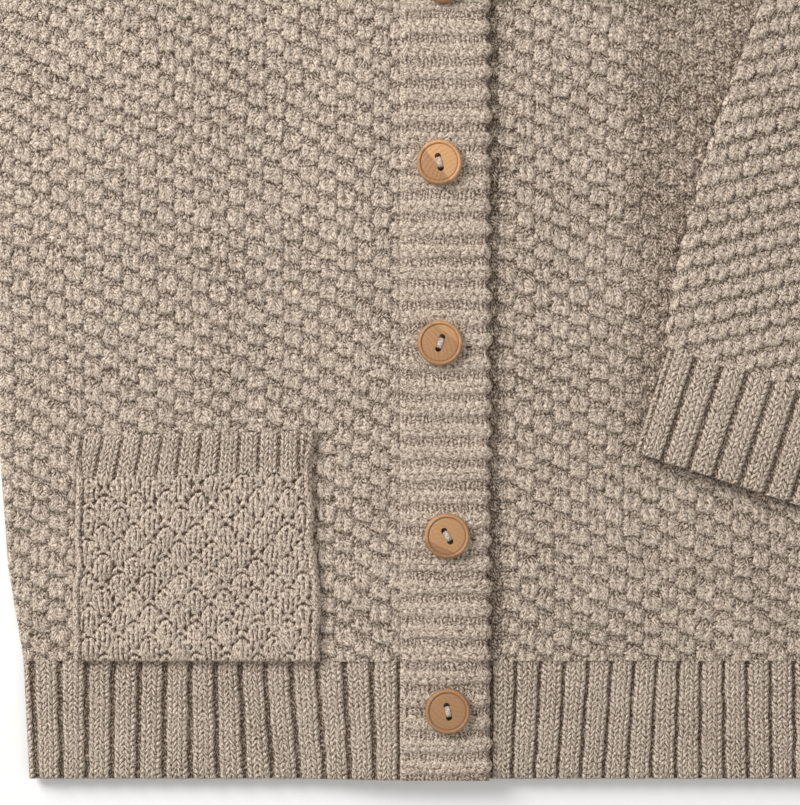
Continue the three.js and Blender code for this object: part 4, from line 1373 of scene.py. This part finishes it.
@dataclass
class Pocket:
    """The patch pocket and its ribbed top."""

    outer: float = -123.3
    inner: float = -41.7
    bottom: float = 40.6
    seam: float = 101.0
    top: float = 114.5
    tilt: float = 2.0
    wall: float = 2.2
    cord_place: float = 1.2
    cord_radius: float = 1.3
    cord_pitch: float = 2.6
    cord_rise: float = 1.4

    def limits(self, height: Array) -> tuple[Array, Array]:
        """Left and right edges of the pocket, a little wavy, the right one leaning in towards the top.

        Args:
            height: Heights over the hem's lower edge, in millimetres.

        Returns:
            Both edges.
        """
        share = (height - self.bottom) / (self.top - self.bottom)
        low = self.outer + 0.9 * drift(height / 9, 0 * height, 31.0)
        return low, self.inner - 2.2 * share + 1.1 * drift(height / 8, 0 * height, 33.0)

    def under(self, x: Array, height: Array) -> Array:
        """Level of the pocket's underside, on the front."""
        return BODY.front_under(x, height) + BODY.wall + BODY.gap

    def tilted(self, placed: Placed, share: Array, height: Array) -> None:
        """Raises each row towards the band, as the pocket's top tilts."""
        grow = np.clip((height - self.bottom) / (self.seam - self.bottom), 0, 1)
        placed.points[:, 1] += self.tilt * share * grow

    def build(self) -> list[bpy.types.Object]:
        """Makes the pocket's two pieces.

        Returns:
            The pocket and its rib.
        """
        bell = Bell()
        panel = Panel(
            "pocket_cloth", bell, np.linspace(self.bottom - 0.9, self.seam, 155), 205, self.limits,
            self.under, self.wall + 0.7, (2.0, 2.0, 1.5, 0.1), inner_columns=8, warp=0.5, extra=self.seamed,
            adjust=self.tilted)
        finish = YarnFinish("pocket_yarn", bell, slant=0.35, loop_rise=0.2, crease_shade=0.35)
        rib = BroadRib(pitch=6.9, gap=0.13, depth=1.2, fall=0.8)
        top = Panel(
            "pocket_rib_cloth", rib, np.linspace(self.seam - 0.2, self.top, 40), 190, self.limits, self.under,
            self.wall + 0.6, (1.7, 1.7, 0.1, 1.4), inner_columns=8, warp=0.15, extra=self.seamed,
            adjust=self.tilted, stitches=lambda x, h: (self.rib_place(x, h), h / rib.course))
        top_finish = rib_finish("pocket_rib_yarn", rib)
        return [
            dress(panel.build(), finish, ["pocket"]),
            dress(top.build(), top_finish, ["pocket_rib"])]

    def rib_place(self, x: Array, height: Array) -> Array:
        """Place across in ribs, the ones at the outer side leaning."""
        lean = 0.22 * (height - self.seam) * smooth(self.inner, self.outer, x)
        return (x - self.outer - lean) / 6.8

    def seamed(self, x: Array, height: Array, left: Array, right: Array, relief: Relief) -> Relief:
        """Adds the sewn cord up both sides.

        Args:
            x: Places across, in millimetres; not used.
            height: Heights over the hem's lower edge, in millimetres.
            left: Distances from the left edge.
            right: Distances from the right edge.
            relief: The stitch's own relief.

        Returns:
            The relief with the cord.
        """
        near = np.minimum(left, right)
        chain = np.sin(math.pi * fraction(height / self.cord_pitch + 0.6 * near))
        cord = np.sqrt(np.maximum(0, 1 - ((near - self.cord_place) / self.cord_radius) ** 2))
        shape = self.cord_rise * cord - 1.0 + 0.4 * (chain ** 0.6 - 1)
        share = smooth(3.2, 2.7, near)
        groove = smooth(2.2, 2.6, near)
        # Painted shade in the groove inside the cord and between the cord's chain stitches.
        painted_shade = mix(relief.painted_shade, 0.4 * groove + 0.45 * (1 - chain ** 0.5), share)
        return Relief(mix(relief.height, shape - 0.2, share), np.clip(painted_shade, 0, 1))


@dataclass(frozen=True)
class Fold:
    """How the left sleeve folds over at the armhole: its bend's start and radius, and the centre's level."""

    start: float = 4.0
    radius: float = 3.3
    centre: float = 6.45

    def end(self) -> float:
        """Place in the flat frame where the fold ends."""
        return self.start + math.pi * self.radius


FOLD = Fold()
ARMHOLE_RUN = (33.0, -115.0)
ARMHOLE = 119.64


@dataclass
class FlatTube:
    """A flattened tube of cloth between a top line and an under line, in the sleeve's flat frame."""

    name: str
    stitch: Stitch
    columns: int
    rows: int
    side: Side
    folded: bool
    ends: Callable[[Array], tuple[Array, Array, Array, Array]]
    wall: float
    rise: float
    stitches: Callable[[Array, Array, Array, Array], tuple[Array, Array]]
    stack: float = 6.3
    slit: float = 0.4
    inner_rows: int = 9
    end_round: float = 1.5
    length: float = 120.0

    def build(self) -> bpy.types.Object:
        """Makes the tube's shell: outside, rims and inside.

        Returns:
            The shell's object.
        """
        share = np.linspace(0, 1, self.columns + 1)
        along = np.concatenate([np.linspace(0, 1, self.rows), np.linspace(1, 0, self.inner_rows), [0.0]])
        inside = np.concatenate([np.zeros(self.rows), np.ones(self.inner_rows), [0.0]])
        grid = ClothGrid(self.name, self.columns, len(along) - 1, capped=False)
        return grid.build(lambda i, j: self.place(share[i], along[j], inside[j]))

    def spot(self, share: Array, width: Array, low: Array, high: Array) -> tuple[Array, Array, Array, Array]:
        """Point on a flat ring at a share of its length, with its outward direction.

        Args:
            share: Share of the way round.
            width: Width of the ring.
            low: Level of its lower run.
            high: Level of its upper run.

        Returns:
            Place across, level, and the two parts of the direction.
        """
        radius = (high - low) / 2
        straight = width - 2 * radius
        bend = math.pi * radius
        walked = share * 2 * (straight + bend)
        middle = (low + high) / 2
        far_turn = (walked - straight) / radius - math.pi / 2
        near_turn = (walked - 2 * straight - bend) / radius + math.pi / 2
        stage = [walked < straight, walked < straight + bend, walked < 2 * straight + bend]
        at = np.select(stage, [
            radius + walked, width - radius + radius * np.cos(far_turn),
            width - radius - (walked - straight - bend)], radius + radius * np.cos(near_turn))
        level = np.select(stage, [low, middle + radius * np.sin(far_turn), high],
                          middle + radius * np.sin(near_turn))
        out_at = np.select(stage, [0, np.cos(far_turn), 0], np.cos(near_turn))
        out_level = np.select(stage, [-1, np.sin(far_turn), 1], np.sin(near_turn))
        return at, level, out_at, out_level

    def place(self, share: Array, along: Array, inside: Array) -> Placed:
        """Places the tube's points.

        Args:
            share: Share round the tube.
            along: Share along the tube.
            inside: 1 on the inner wall.

        Returns:
            Points, stitch places and shade.
        """
        top_a, top_b, under_a, under_b = self.ends(along)
        width = np.hypot(under_a - top_a, under_b - top_b)
        end = np.minimum(along, 1 - along) * self.length
        drop = (1 - inside) * 0.5 * rounded(end, self.end_round)
        inset = mix(drop, self.wall, inside)
        slit_low = (self.stack - self.slit) / 2
        low = mix(drop, slit_low, inside)
        high = mix(self.stack - drop, slit_low + self.slit, inside)
        at, level, out_at, out_level = self.spot(share, width - 2 * inset, low, high)
        spot = (at + inset) / width
        a, b = mix(top_a, under_a, spot), mix(top_b, under_b, spot)
        u, v = self.stitches(a, b, share, along)
        relief = self.stitch.relief(u, v)
        proud = True if self.folded else out_level > -0.5
        offset = (1 - inside) * (relief.height + self.rise * proud)
        way_a, way_b = (under_a - top_a) / width, (under_b - top_b) / width
        a, b = a + offset * out_at * way_a, b + offset * out_at * way_b
        points = self.lay(a, b, level + offset * out_level)
        return Placed(points, np.stack([u, v], axis=1), relief.painted_shade * (1 - inside))

    def lay(self, a: Array, b: Array, level: Array) -> Array:
        """Points on the garment from the flat frame, laid out or folded over the front.

        Args:
            a: Places along the armhole's line.
            b: Places out from that line.
            level: Levels over the floor.

        Returns:
            The points, in millimetres.
        """
        down_x, down_y = (run / ARMHOLE for run in ARMHOLE_RUN)
        out, z = b, level
        if self.folded:
            radius = FOLD.centre - level
            turn = np.clip((b - FOLD.start) / FOLD.radius, 0, math.pi)
            out = np.minimum(b, FOLD.start) + radius * np.sin(turn) - np.maximum(0, b - FOLD.end())
            z = FOLD.centre - radius * np.cos(turn)
        x = BODY.shoulder_half + a * down_x - out * down_y
        height = BODY.shoulder_height + a * down_y + out * down_x
        if self.folded:
            z = z + BODY.swell(x, height) * smooth(FOLD.end(), FOLD.end() + 12, b)
        return np.stack([self.side.value * x, height - BODY.middle, z], axis=1)


@dataclass
class Sleeve:
    """A set in sleeve with its ribbed cuff."""

    side: Side
    folded: bool
    spacing: float = 0.8
    axis: tuple[float, float] = (0.829, 0.56)
    bulge: float = 9.0
    near_share: float = 0.13
    seam: float = 0.15
    cuff_length: float = 36.0
    cuff_course: float = 1.9
    cuff_inner: tuple[float, float] = (178.0, 125.7)
    cuff_outer: tuple[float, float] = (218.2, 66.2)
    cuff_ribs: float = 17.0
    cuff_turn: float = 0.69
    top_at_fold: float = 13.0
    under_at_fold: float = 141.1
    top_at_cuff: tuple[float, float] = (147.2, 107.2)
    under_at_cuff: tuple[float, float] = (189.6, 44.4)

    def ends(self, along: Array) -> tuple[Array, Array, Array, Array]:
        """Top and under lines of the sleeve at a share of its length.

        Args:
            along: Share of the length.

        Returns:
            Places of both lines, along the armhole's line and out from it.
        """
        near = np.clip(along / self.near_share, 0, 1)
        far = np.clip((along - self.near_share) / (1 - self.near_share), 0, 1)
        b = self.seam + near * (FOLD.end() - self.seam)
        top_a = mix(self.top_at_fold * b / FOLD.end(), self.top_at_cuff[0], far)
        top_b = mix(b, self.top_at_cuff[1], far) + self.bulge * 4 * far * (1 - far)
        under_a = mix(mix(ARMHOLE, self.under_at_fold, b / FOLD.end()), self.under_at_cuff[0], far)
        under_b = mix(b, self.under_at_cuff[1], far)
        return top_a, top_b, under_a, under_b

    def cuff_ends(self, along: Array) -> tuple[Array, Array, Array, Array]:
        """Top and under lines of the cuff at a share of its length.

        Args:
            along: Share of the length.

        Returns:
            Places of both lines, as for the sleeve.
        """
        back = self.cuff_length - (along * (self.cuff_length + 1.5) - 1.5)
        return (self.cuff_inner[0] - back * self.axis[0], self.cuff_inner[1] - back * self.axis[1],
                self.cuff_outer[0] - back * self.axis[0], self.cuff_outer[1] - back * self.axis[1])

    def build(self) -> list[bpy.types.Object]:
        """Makes the sleeve and its cuff.

        Returns:
            Both pieces.
        """
        name = self.side.name.lower()
        length = 125.0
        tube = FlatTube(
            f"{name}_sleeve_cloth", MOSS_STITCH, int(200 / self.spacing), int(length / self.spacing),
            self.side, self.folded, self.ends, 2.6, 0.1, self.sleeve_places, length=length)
        piece = dress(tube.build(), MOSS_YARN, [f"{name}_sleeve"])
        rib = BroadRib(pitch=8.45, gap=0.16, depth=1.7, course=self.cuff_course)
        cuff = FlatTube(
            f"{name}_cuff_cloth", rib, int(225 / self.spacing), int(45 / self.spacing), self.side,
            self.folded, self.cuff_ends, 3.4, 0.2, self.rib_places, inner_rows=5, length=self.cuff_length)
        finish = rib_finish("cuff_rib_yarn", rib)
        return [piece, dress(cuff.build(), finish, [f"{name}_cuff"])]

    def sleeve_places(self, a: Array, b: Array, share: Array, along: Array) -> tuple[Array, Array]:
        """Places in stitches, the courses square to the sleeve's length."""
        across = -a * self.axis[1] + b * self.axis[0]
        return across / MOSS_STITCH.wale, -(a * self.axis[0] + b * self.axis[1]) / MOSS_STITCH.course

    def rib_places(self, a: Array, b: Array, share: Array, along: Array) -> tuple[Array, Array]:
        """Places in ribs round the cuff and in courses along it."""
        return share * self.cuff_ribs - self.cuff_turn, -along * self.cuff_length / self.cuff_course


@dataclass
class Neckband:
    """The ribbed band round the neck, folded over at the shoulders."""

    height: float = 17.0
    wall: float = 2.6
    pitch: float = 8.4

    def path(self) -> Array:
        """Seam points with x, height, level, turn and lean, from one front edge round to the other.

        Returns:
            One row for each point.
        """
        rows: list[tuple[float, float, float, float, float]] = []
        edge = BODY.band_half + BODY.gap
        for turn in np.linspace(0, 90, 19):
            x = edge + (BODY.neck_half - edge) * math.sin(math.radians(turn))
            high = BODY.length - (BODY.length - BODY.neck_low) * math.cos(math.radians(turn))
            under = float(BODY.front_under(np.array([-x]), np.array([high]))[0])
            rows.append((-x, high, self.wall / 2 + 0.15 + under, 0.0, math.radians(90 - turn / 90 * 60)))
        radius = (BODY.front_level + 0.15) / 2
        for turn in np.linspace(15, 165, 9):
            angle = math.radians(turn)
            rows.append((
                -BODY.neck_half - radius * math.sin(angle), BODY.length + 0.5 + turn / 400,
                self.wall / 2 + radius * (1 + math.cos(angle)), angle, math.radians(30 + 28 * turn / 180)))
        for share in np.linspace(1, 0, 8):
            x = -share * BODY.neck_half
            high = float(BODY.back_top(np.array([x]))[0]) + 0.1
            rows.append((x, high, self.wall / 2, math.pi, math.radians(90 - 32 * share)))
        for x, high, level, turn, lean in rows[-2::-1]:
            over = float(BODY.front_under(np.array([-x]), np.array([high]))[0])
            flat = self.wall / 2 + 0.15 + over if turn == 0 else level
            rows.append((-x, high, flat, 2 * math.pi - turn, math.pi - lean))
        return np.array(rows)

    def build(self) -> list[bpy.types.Object]:
        """Makes the neckband.

        Returns:
            The neckband, by itself in a list.
        """
        path = self.path()
        steps = np.linalg.norm(np.diff(path[:, :3], axis=0), axis=1)
        lengths = np.concatenate([[0], np.cumsum(steps)])
        total = lengths[-1]
        ribs = round(total / self.pitch)
        rib = BroadRib(pitch=total / ribs, gap=0.22, depth=1.3)
        face, inner = 28, 6
        share = np.concatenate([np.linspace(0, 1, face), np.linspace(1, 0, inner), [0.0]])
        level = np.concatenate([np.ones(face), np.zeros(inner), [1.0]])
        along = np.linspace(0, total, 420)

        def place(i: Array, j: Array) -> Placed:
            """Places the neckband's points.

            Args:
                i: Number of the column.
                j: Number of the row.

            Returns:
                Points, stitch places and shade.
            """
            at, up_share, front = along[j], share[i], level[i]
            x, high, z, turn, lean = (np.interp(at, lengths, path[:, k]) for k in range(5))
            up = np.stack([np.cos(lean), np.sin(lean), np.zeros_like(lean)], axis=1)
            across = np.stack([-np.sin(lean), np.cos(lean), np.zeros_like(lean)], axis=1)
            out = across * np.sin(turn)[:, None]
            out[:, 2] += np.cos(turn)
            u, v = at / rib.pitch, up_share * self.height / rib.course
            relief = rib.relief(u, v)
            edge = np.minimum(up_share, 1 - up_share) * self.height
            outer = self.wall / 2 + relief.height - 0.8 * rounded(edge, 1.5)
            off = np.where(front > 0.5, outer, -self.wall / 2)
            spot = np.stack([x, high - BODY.middle, z], axis=1)
            spot = spot + up * (0.4 + up_share * self.height)[:, None] + out * off[:, None]
            return Placed(spot, np.stack([u, v], axis=1), relief.painted_shade * front)

        grid = ClothGrid("neckband_cloth", len(share) - 1, len(along) - 1)
        finish = rib_finish("neck_rib_yarn", rib)
        return [dress(grid.build(place), finish, ["neckband"])]


@dataclass(frozen=True)
class ButtonSpec:
    """Where one button lies, how it is turned, and its own wood."""

    number: int
    x: float
    height: float
    turn: float
    tone: float
    band_turn: float
    band_place: float
    band_depth: float
    grain: tuple[float, float]


BUTTONS: tuple[ButtonSpec, ...] = (
    ButtonSpec(1, -0.8, 265.7, 8, 0.9, 20, 0.5, 0.2, (3.0, 9.0)),
    ButtonSpec(2, -2.0, 205.3, 14, 1.17, 25, -0.1, 0.42, (6.0, -11.0)),
    ButtonSpec(3, -1.7, 145.5, -19, 0.97, 70, 0.55, 0.3, (-9.0, -8.0)),
    ButtonSpec(4, 0.6, 81.6, 30, 0.85, 35, -0.5, 0.42, (-10.0, -9.0)),
    ButtonSpec(5, 0.8, 23.6, 12, 0.73, 60, 0.9, 0.15, (9.0, 10.0)),
)


@dataclass(frozen=True)
class WoodFinish:
    """Turned pale wood with a rim, a thin groove and fine curved grain; painted brown shade darkens the groove
    and the rim's outer side.
    """

    spec: ButtonSpec
    pale: Colour = (0.60, 0.328, 0.150, 1.0)
    brown: Colour = (0.21, 0.095, 0.04, 1.0)
    radius: float = 7.5
    groove: float = 6.15

    def material(self) -> bpy.types.Material:
        """The wood of one button.

        Returns:
            The material.
        """
        made, wires, shader = new_material(f"button_wood_{self.spec.number}")
        uv = wires.node("ShaderNodeUVMap", uv_map=UV_MAP).outputs[0]
        x, y = wires.split(uv)[:2]
        radius = wires.node("ShaderNodeVectorMath", {"Vector": uv}, operation="LENGTH").outputs["Value"]
        centre = wires.vector("SUBTRACT", uv, (*self.spec.grain, 0.0))
        rings = wires.node("ShaderNodeTexWave", {
            "Vector": centre, "Scale": 0.22, "Distortion": 3.5, "Detail": 3.0, "Detail Scale": 1.2},
            wave_type="RINGS", rings_direction="Z").outputs["Fac"]
        fleck = wires.noise(centre, 1.6, 5.0).outputs[0]
        angle = math.radians(self.spec.band_turn)
        along = wires.maths("MULTIPLY", x, math.cos(angle) / self.radius)
        along = wires.maths("MULTIPLY_ADD", y, math.sin(angle) / self.radius, along)
        band = wires.step(along, self.spec.band_place, self.spec.band_place - 0.06, 0.0, self.spec.band_depth)
        groove = wires.maths("ABSOLUTE", wires.maths("SUBTRACT", radius, self.groove))
        # Painted shade along the groove.
        ring = wires.step(groove, 0.42, 0.08, 0.0, 0.62)
        # Painted shade down the rim's outer side.
        rim = wires.step(radius, 6.9, 7.4, 0.0, 0.3)
        dark = wires.maths("MULTIPLY_ADD", rings, 0.15, band)
        dark = wires.maths("MULTIPLY_ADD", fleck, 0.45, dark)
        dark = wires.maths("MAXIMUM", wires.maths("MAXIMUM", dark, ring), rim)
        share = wires.limited(wires.maths("SUBTRACT", dark, 0.12))
        pale = (*(part * self.spec.tone for part in self.pale[:3]), 1.0)
        wires.fill(shader, {
            "Base Color": wires.blend(share, pale, self.brown),
            "Roughness": wires.step(fleck, 0.3, 0.7, 0.42, 0.58)})
        wires.bump(shader, wires.maths("MULTIPLY", rings, 0.05), 0.4)
        return made


@dataclass
class Button:
    """A turned wooden button with two holes, sewn on with yarn."""

    spec: ButtonSpec
    base: float = 9.3
    hole_radius: float = 1.05
    hole_spacing: float = 4.0
    strand_offsets: tuple[float, ...] = (-0.42, 0.08, 0.5)
    strand_radius: float = 0.34
    strand_level: float = 2.45
    profile: tuple[tuple[float, float], ...] = (
        (0.0, 0.0), (6.4, 0.0), (7.0, 0.15), (7.4, 0.6), (7.5, 1.2), (7.5, 1.9), (7.35, 2.5), (7.1, 2.85),
        (6.8, 3.0), (6.5, 2.98), (6.35, 2.85), (6.2, 2.55), (6.05, 2.5), (5.9, 2.68), (5.6, 2.74), (0.0, 2.7))

    def build(self) -> list[bpy.types.Object]:
        """Makes the button and its thread.

        Returns:
            Both pieces.
        """
        disc = bmesh.new()
        points = [disc.verts.new((r, 0.0, z)) for r, z in self.profile]
        edges = [disc.edges.new(pair) for pair in zip(points, points[1:])]
        bmesh.ops.spin(disc, geom=points + edges, cent=(0, 0, 0), axis=(0, 0, 1), angle=2 * math.pi,
                       steps=72, use_merge=True, dvec=(0, 0, 0), use_normal_flip=False, use_duplicate=False)
        bmesh.ops.remove_doubles(disc, verts=disc.verts, dist=1e-4)
        bmesh.ops.recalc_face_normals(disc, faces=disc.faces)
        name = f"button_{self.spec.number}"
        body = self.drilled(self.made(disc, f"{name}_wood"))
        self.lay(body)
        body.data.materials.append(WoodFinish(self.spec).material())
        body.data.set_sharp_from_angle(angle=math.radians(40))
        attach(body, "root")
        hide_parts(name)
        thread = self.thread(f"{name}_thread")
        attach(thread, "root")
        LOG.info("%s: %d faces", body.name, len(body.data.polygons))
        return [body, thread]

    def made(self, shape: bmesh.types.BMesh, name: str) -> bpy.types.Object:
        """An object from a finished shape.

        Args:
            shape: The shape.
            name: The object's name.

        Returns:
            The object, shaded smooth.
        """
        mesh = new_mesh(shape, name)
        mesh.shade_smooth()
        return link(name, mesh)

    def drilled(self, body: bpy.types.Object) -> bpy.types.Object:
        """Cuts the two holes.

        Args:
            body: The turned disc.

        Returns:
            The same piece, drilled.
        """
        drill = bmesh.new()
        for way in (-1, 1):
            place = Matrix.Translation((0, way * self.hole_spacing / 2, 1.5))
            bmesh.ops.create_cone(drill, cap_ends=True, segments=28, radius1=self.hole_radius,
                                  radius2=self.hole_radius, depth=8.0, matrix=place)
        tool = self.made(drill, "button_drill")
        cutter = body.modifiers.new("holes", "BOOLEAN")
        cutter.operation = "DIFFERENCE"
        cutter.object = tool
        cutter.solver = "EXACT"
        bpy.context.view_layer.update()
        cut = bpy.data.meshes.new_from_object(body.evaluated_get(bpy.context.evaluated_depsgraph_get()))
        body.modifiers.clear()
        body.data = cut
        bpy.data.objects.remove(tool)
        return body

    def lay(self, piece: bpy.types.Object) -> None:
        """Gives the piece its own places for the grain, then turns and sets it on the band.

        Args:
            piece: The piece, in millimetres round the button's middle.
        """
        spots, corners = read_spots(piece.data)
        write_map(piece.data, spots[corners, :2])
        place = Matrix.Translation((self.spec.x, self.spec.height - BODY.middle, self.base))
        turn = Matrix.Rotation(math.radians(self.spec.turn), 4, "Z")
        piece.data.transform(Matrix.Scale(MM, 4) @ place @ turn)

    def thread(self, name: str) -> bpy.types.Object:
        """Three strands of yarn from hole to hole.

        Args:
            name: The piece's name.

        Returns:
            The piece.
        """
        strands = bmesh.new()
        half = self.hole_spacing / 2 - 0.55
        for offset in self.strand_offsets:
            place = Matrix.Translation((offset, half, 0))
            ring = bmesh.ops.create_circle(strands, segments=10, radius=self.strand_radius, matrix=place)
            edges = list(dict.fromkeys(e for v in ring["verts"] for e in v.link_edges))
            bmesh.ops.spin(strands, geom=ring["verts"] + edges, cent=(0, 0, 0), axis=(1, 0, 0),
                           angle=math.pi, steps=14, dvec=(0, 0, 0), use_merge=False,
                           use_normal_flip=False, use_duplicate=False)
        bmesh.ops.scale(strands, vec=(1, 1, 0.42), verts=strands.verts)
        bmesh.ops.translate(strands, vec=(0, 0, self.strand_level), verts=strands.verts)
        bmesh.ops.recalc_face_normals(strands, faces=strands.faces)
        piece = self.made(strands, name)
        self.lay(piece)
        finish = YarnFinish(
            "thread_yarn", Stitch(1.0, 1.0), slant=0.5, light=(0.66, 0.56, 0.48, 1.0), loop_rise=0.0,
            crease_shade=0.0, strand_rise=0.1)
        piece.data.materials.append(finish.material())
        return piece


@dataclass
class Studio:
    """Floor, lights and camera."""

    eye: tuple[float, float, float] = (-0.015, -0.0392, 0.640)
    lens: float = 85.0
    key: float = 17.0
    key_place: tuple[float, float, float] = (-0.85, 0.6, 0.75)
    fill: float = 3.0
    fill_place: tuple[float, float, float] = (0.5, -0.4, 1.1)
    sky: float = 0.42

    def build(self) -> None:
        """Makes the studio."""
        shape = bmesh.new()
        bmesh.ops.create_grid(shape, x_segments=1, y_segments=1, size=3.0)
        bmesh.ops.translate(shape, vec=(0, 0, -0.0004), verts=shape.verts)
        floor = link("floor", new_mesh(shape, "floor"))
        paint, wires, shader = new_material("pale_floor")
        wires.fill(shader, {"Base Color": (0.93, 0.93, 0.92, 1.0), "Roughness": 0.8})
        floor.data.materials.append(paint)
        self.light("key_light", self.key, 0.6, self.key_place)
        self.light("fill_light", self.fill, 1.2, self.fill_place)
        scene = bpy.context.scene
        world = bpy.data.worlds.new("studio_sky")
        world.use_nodes = True
        background = world.node_tree.nodes["Background"]
        Wires(world.node_tree).fill(background, {"Color": (1.0, 0.99, 0.97, 1.0), "Strength": self.sky})
        scene.world = world
        scene.view_settings.view_transform = "Standard"
        camera = link("camera", bpy.data.cameras.new("camera"))
        camera.data.lens = self.lens
        camera.data.sensor_width = 36.0
        camera.data.clip_start = 0.02
        camera.location = self.eye
        scene.camera = camera

    def light(self, name: str, power: float, size: float, place: tuple[float, float, float]) -> None:
        """Hangs one soft square light turned to the cardigan's middle.

        Args:
            name: The light's name.
            power: Its power, in watts.
            size: Its side, in metres.
            place: Where it hangs, in metres.
        """
        lamp = link(name, bpy.data.lights.new(name, "AREA"))
        lamp.data.energy = power
        lamp.data.size = size
        lamp.location = place
        lamp.rotation_euler = (-Vector(place)).to_track_quat("-Z", "Y").to_euler()


def main() -> None:
    """Builds the cardigan around the frame."""
    logging.basicConfig(level=logging.INFO, format="%(message)s")
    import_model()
    Studio().build()
    parts = (
        Front(Side.RIGHT, rib_pitch=8.7, rib_gap=0.17),
        Front(Side.LEFT, rib_pitch=7.8, rib_gap=0.12),
        Back(),
        Bands(),
        Pocket(),
        Sleeve(Side.LEFT, folded=True),
        Sleeve(Side.RIGHT, folded=False, spacing=1.15),
        Neckband(),
        *(Button(spec) for spec in BUTTONS),
    )
    for part in parts:
        part.build()


if __name__ == "__main__":
    main()
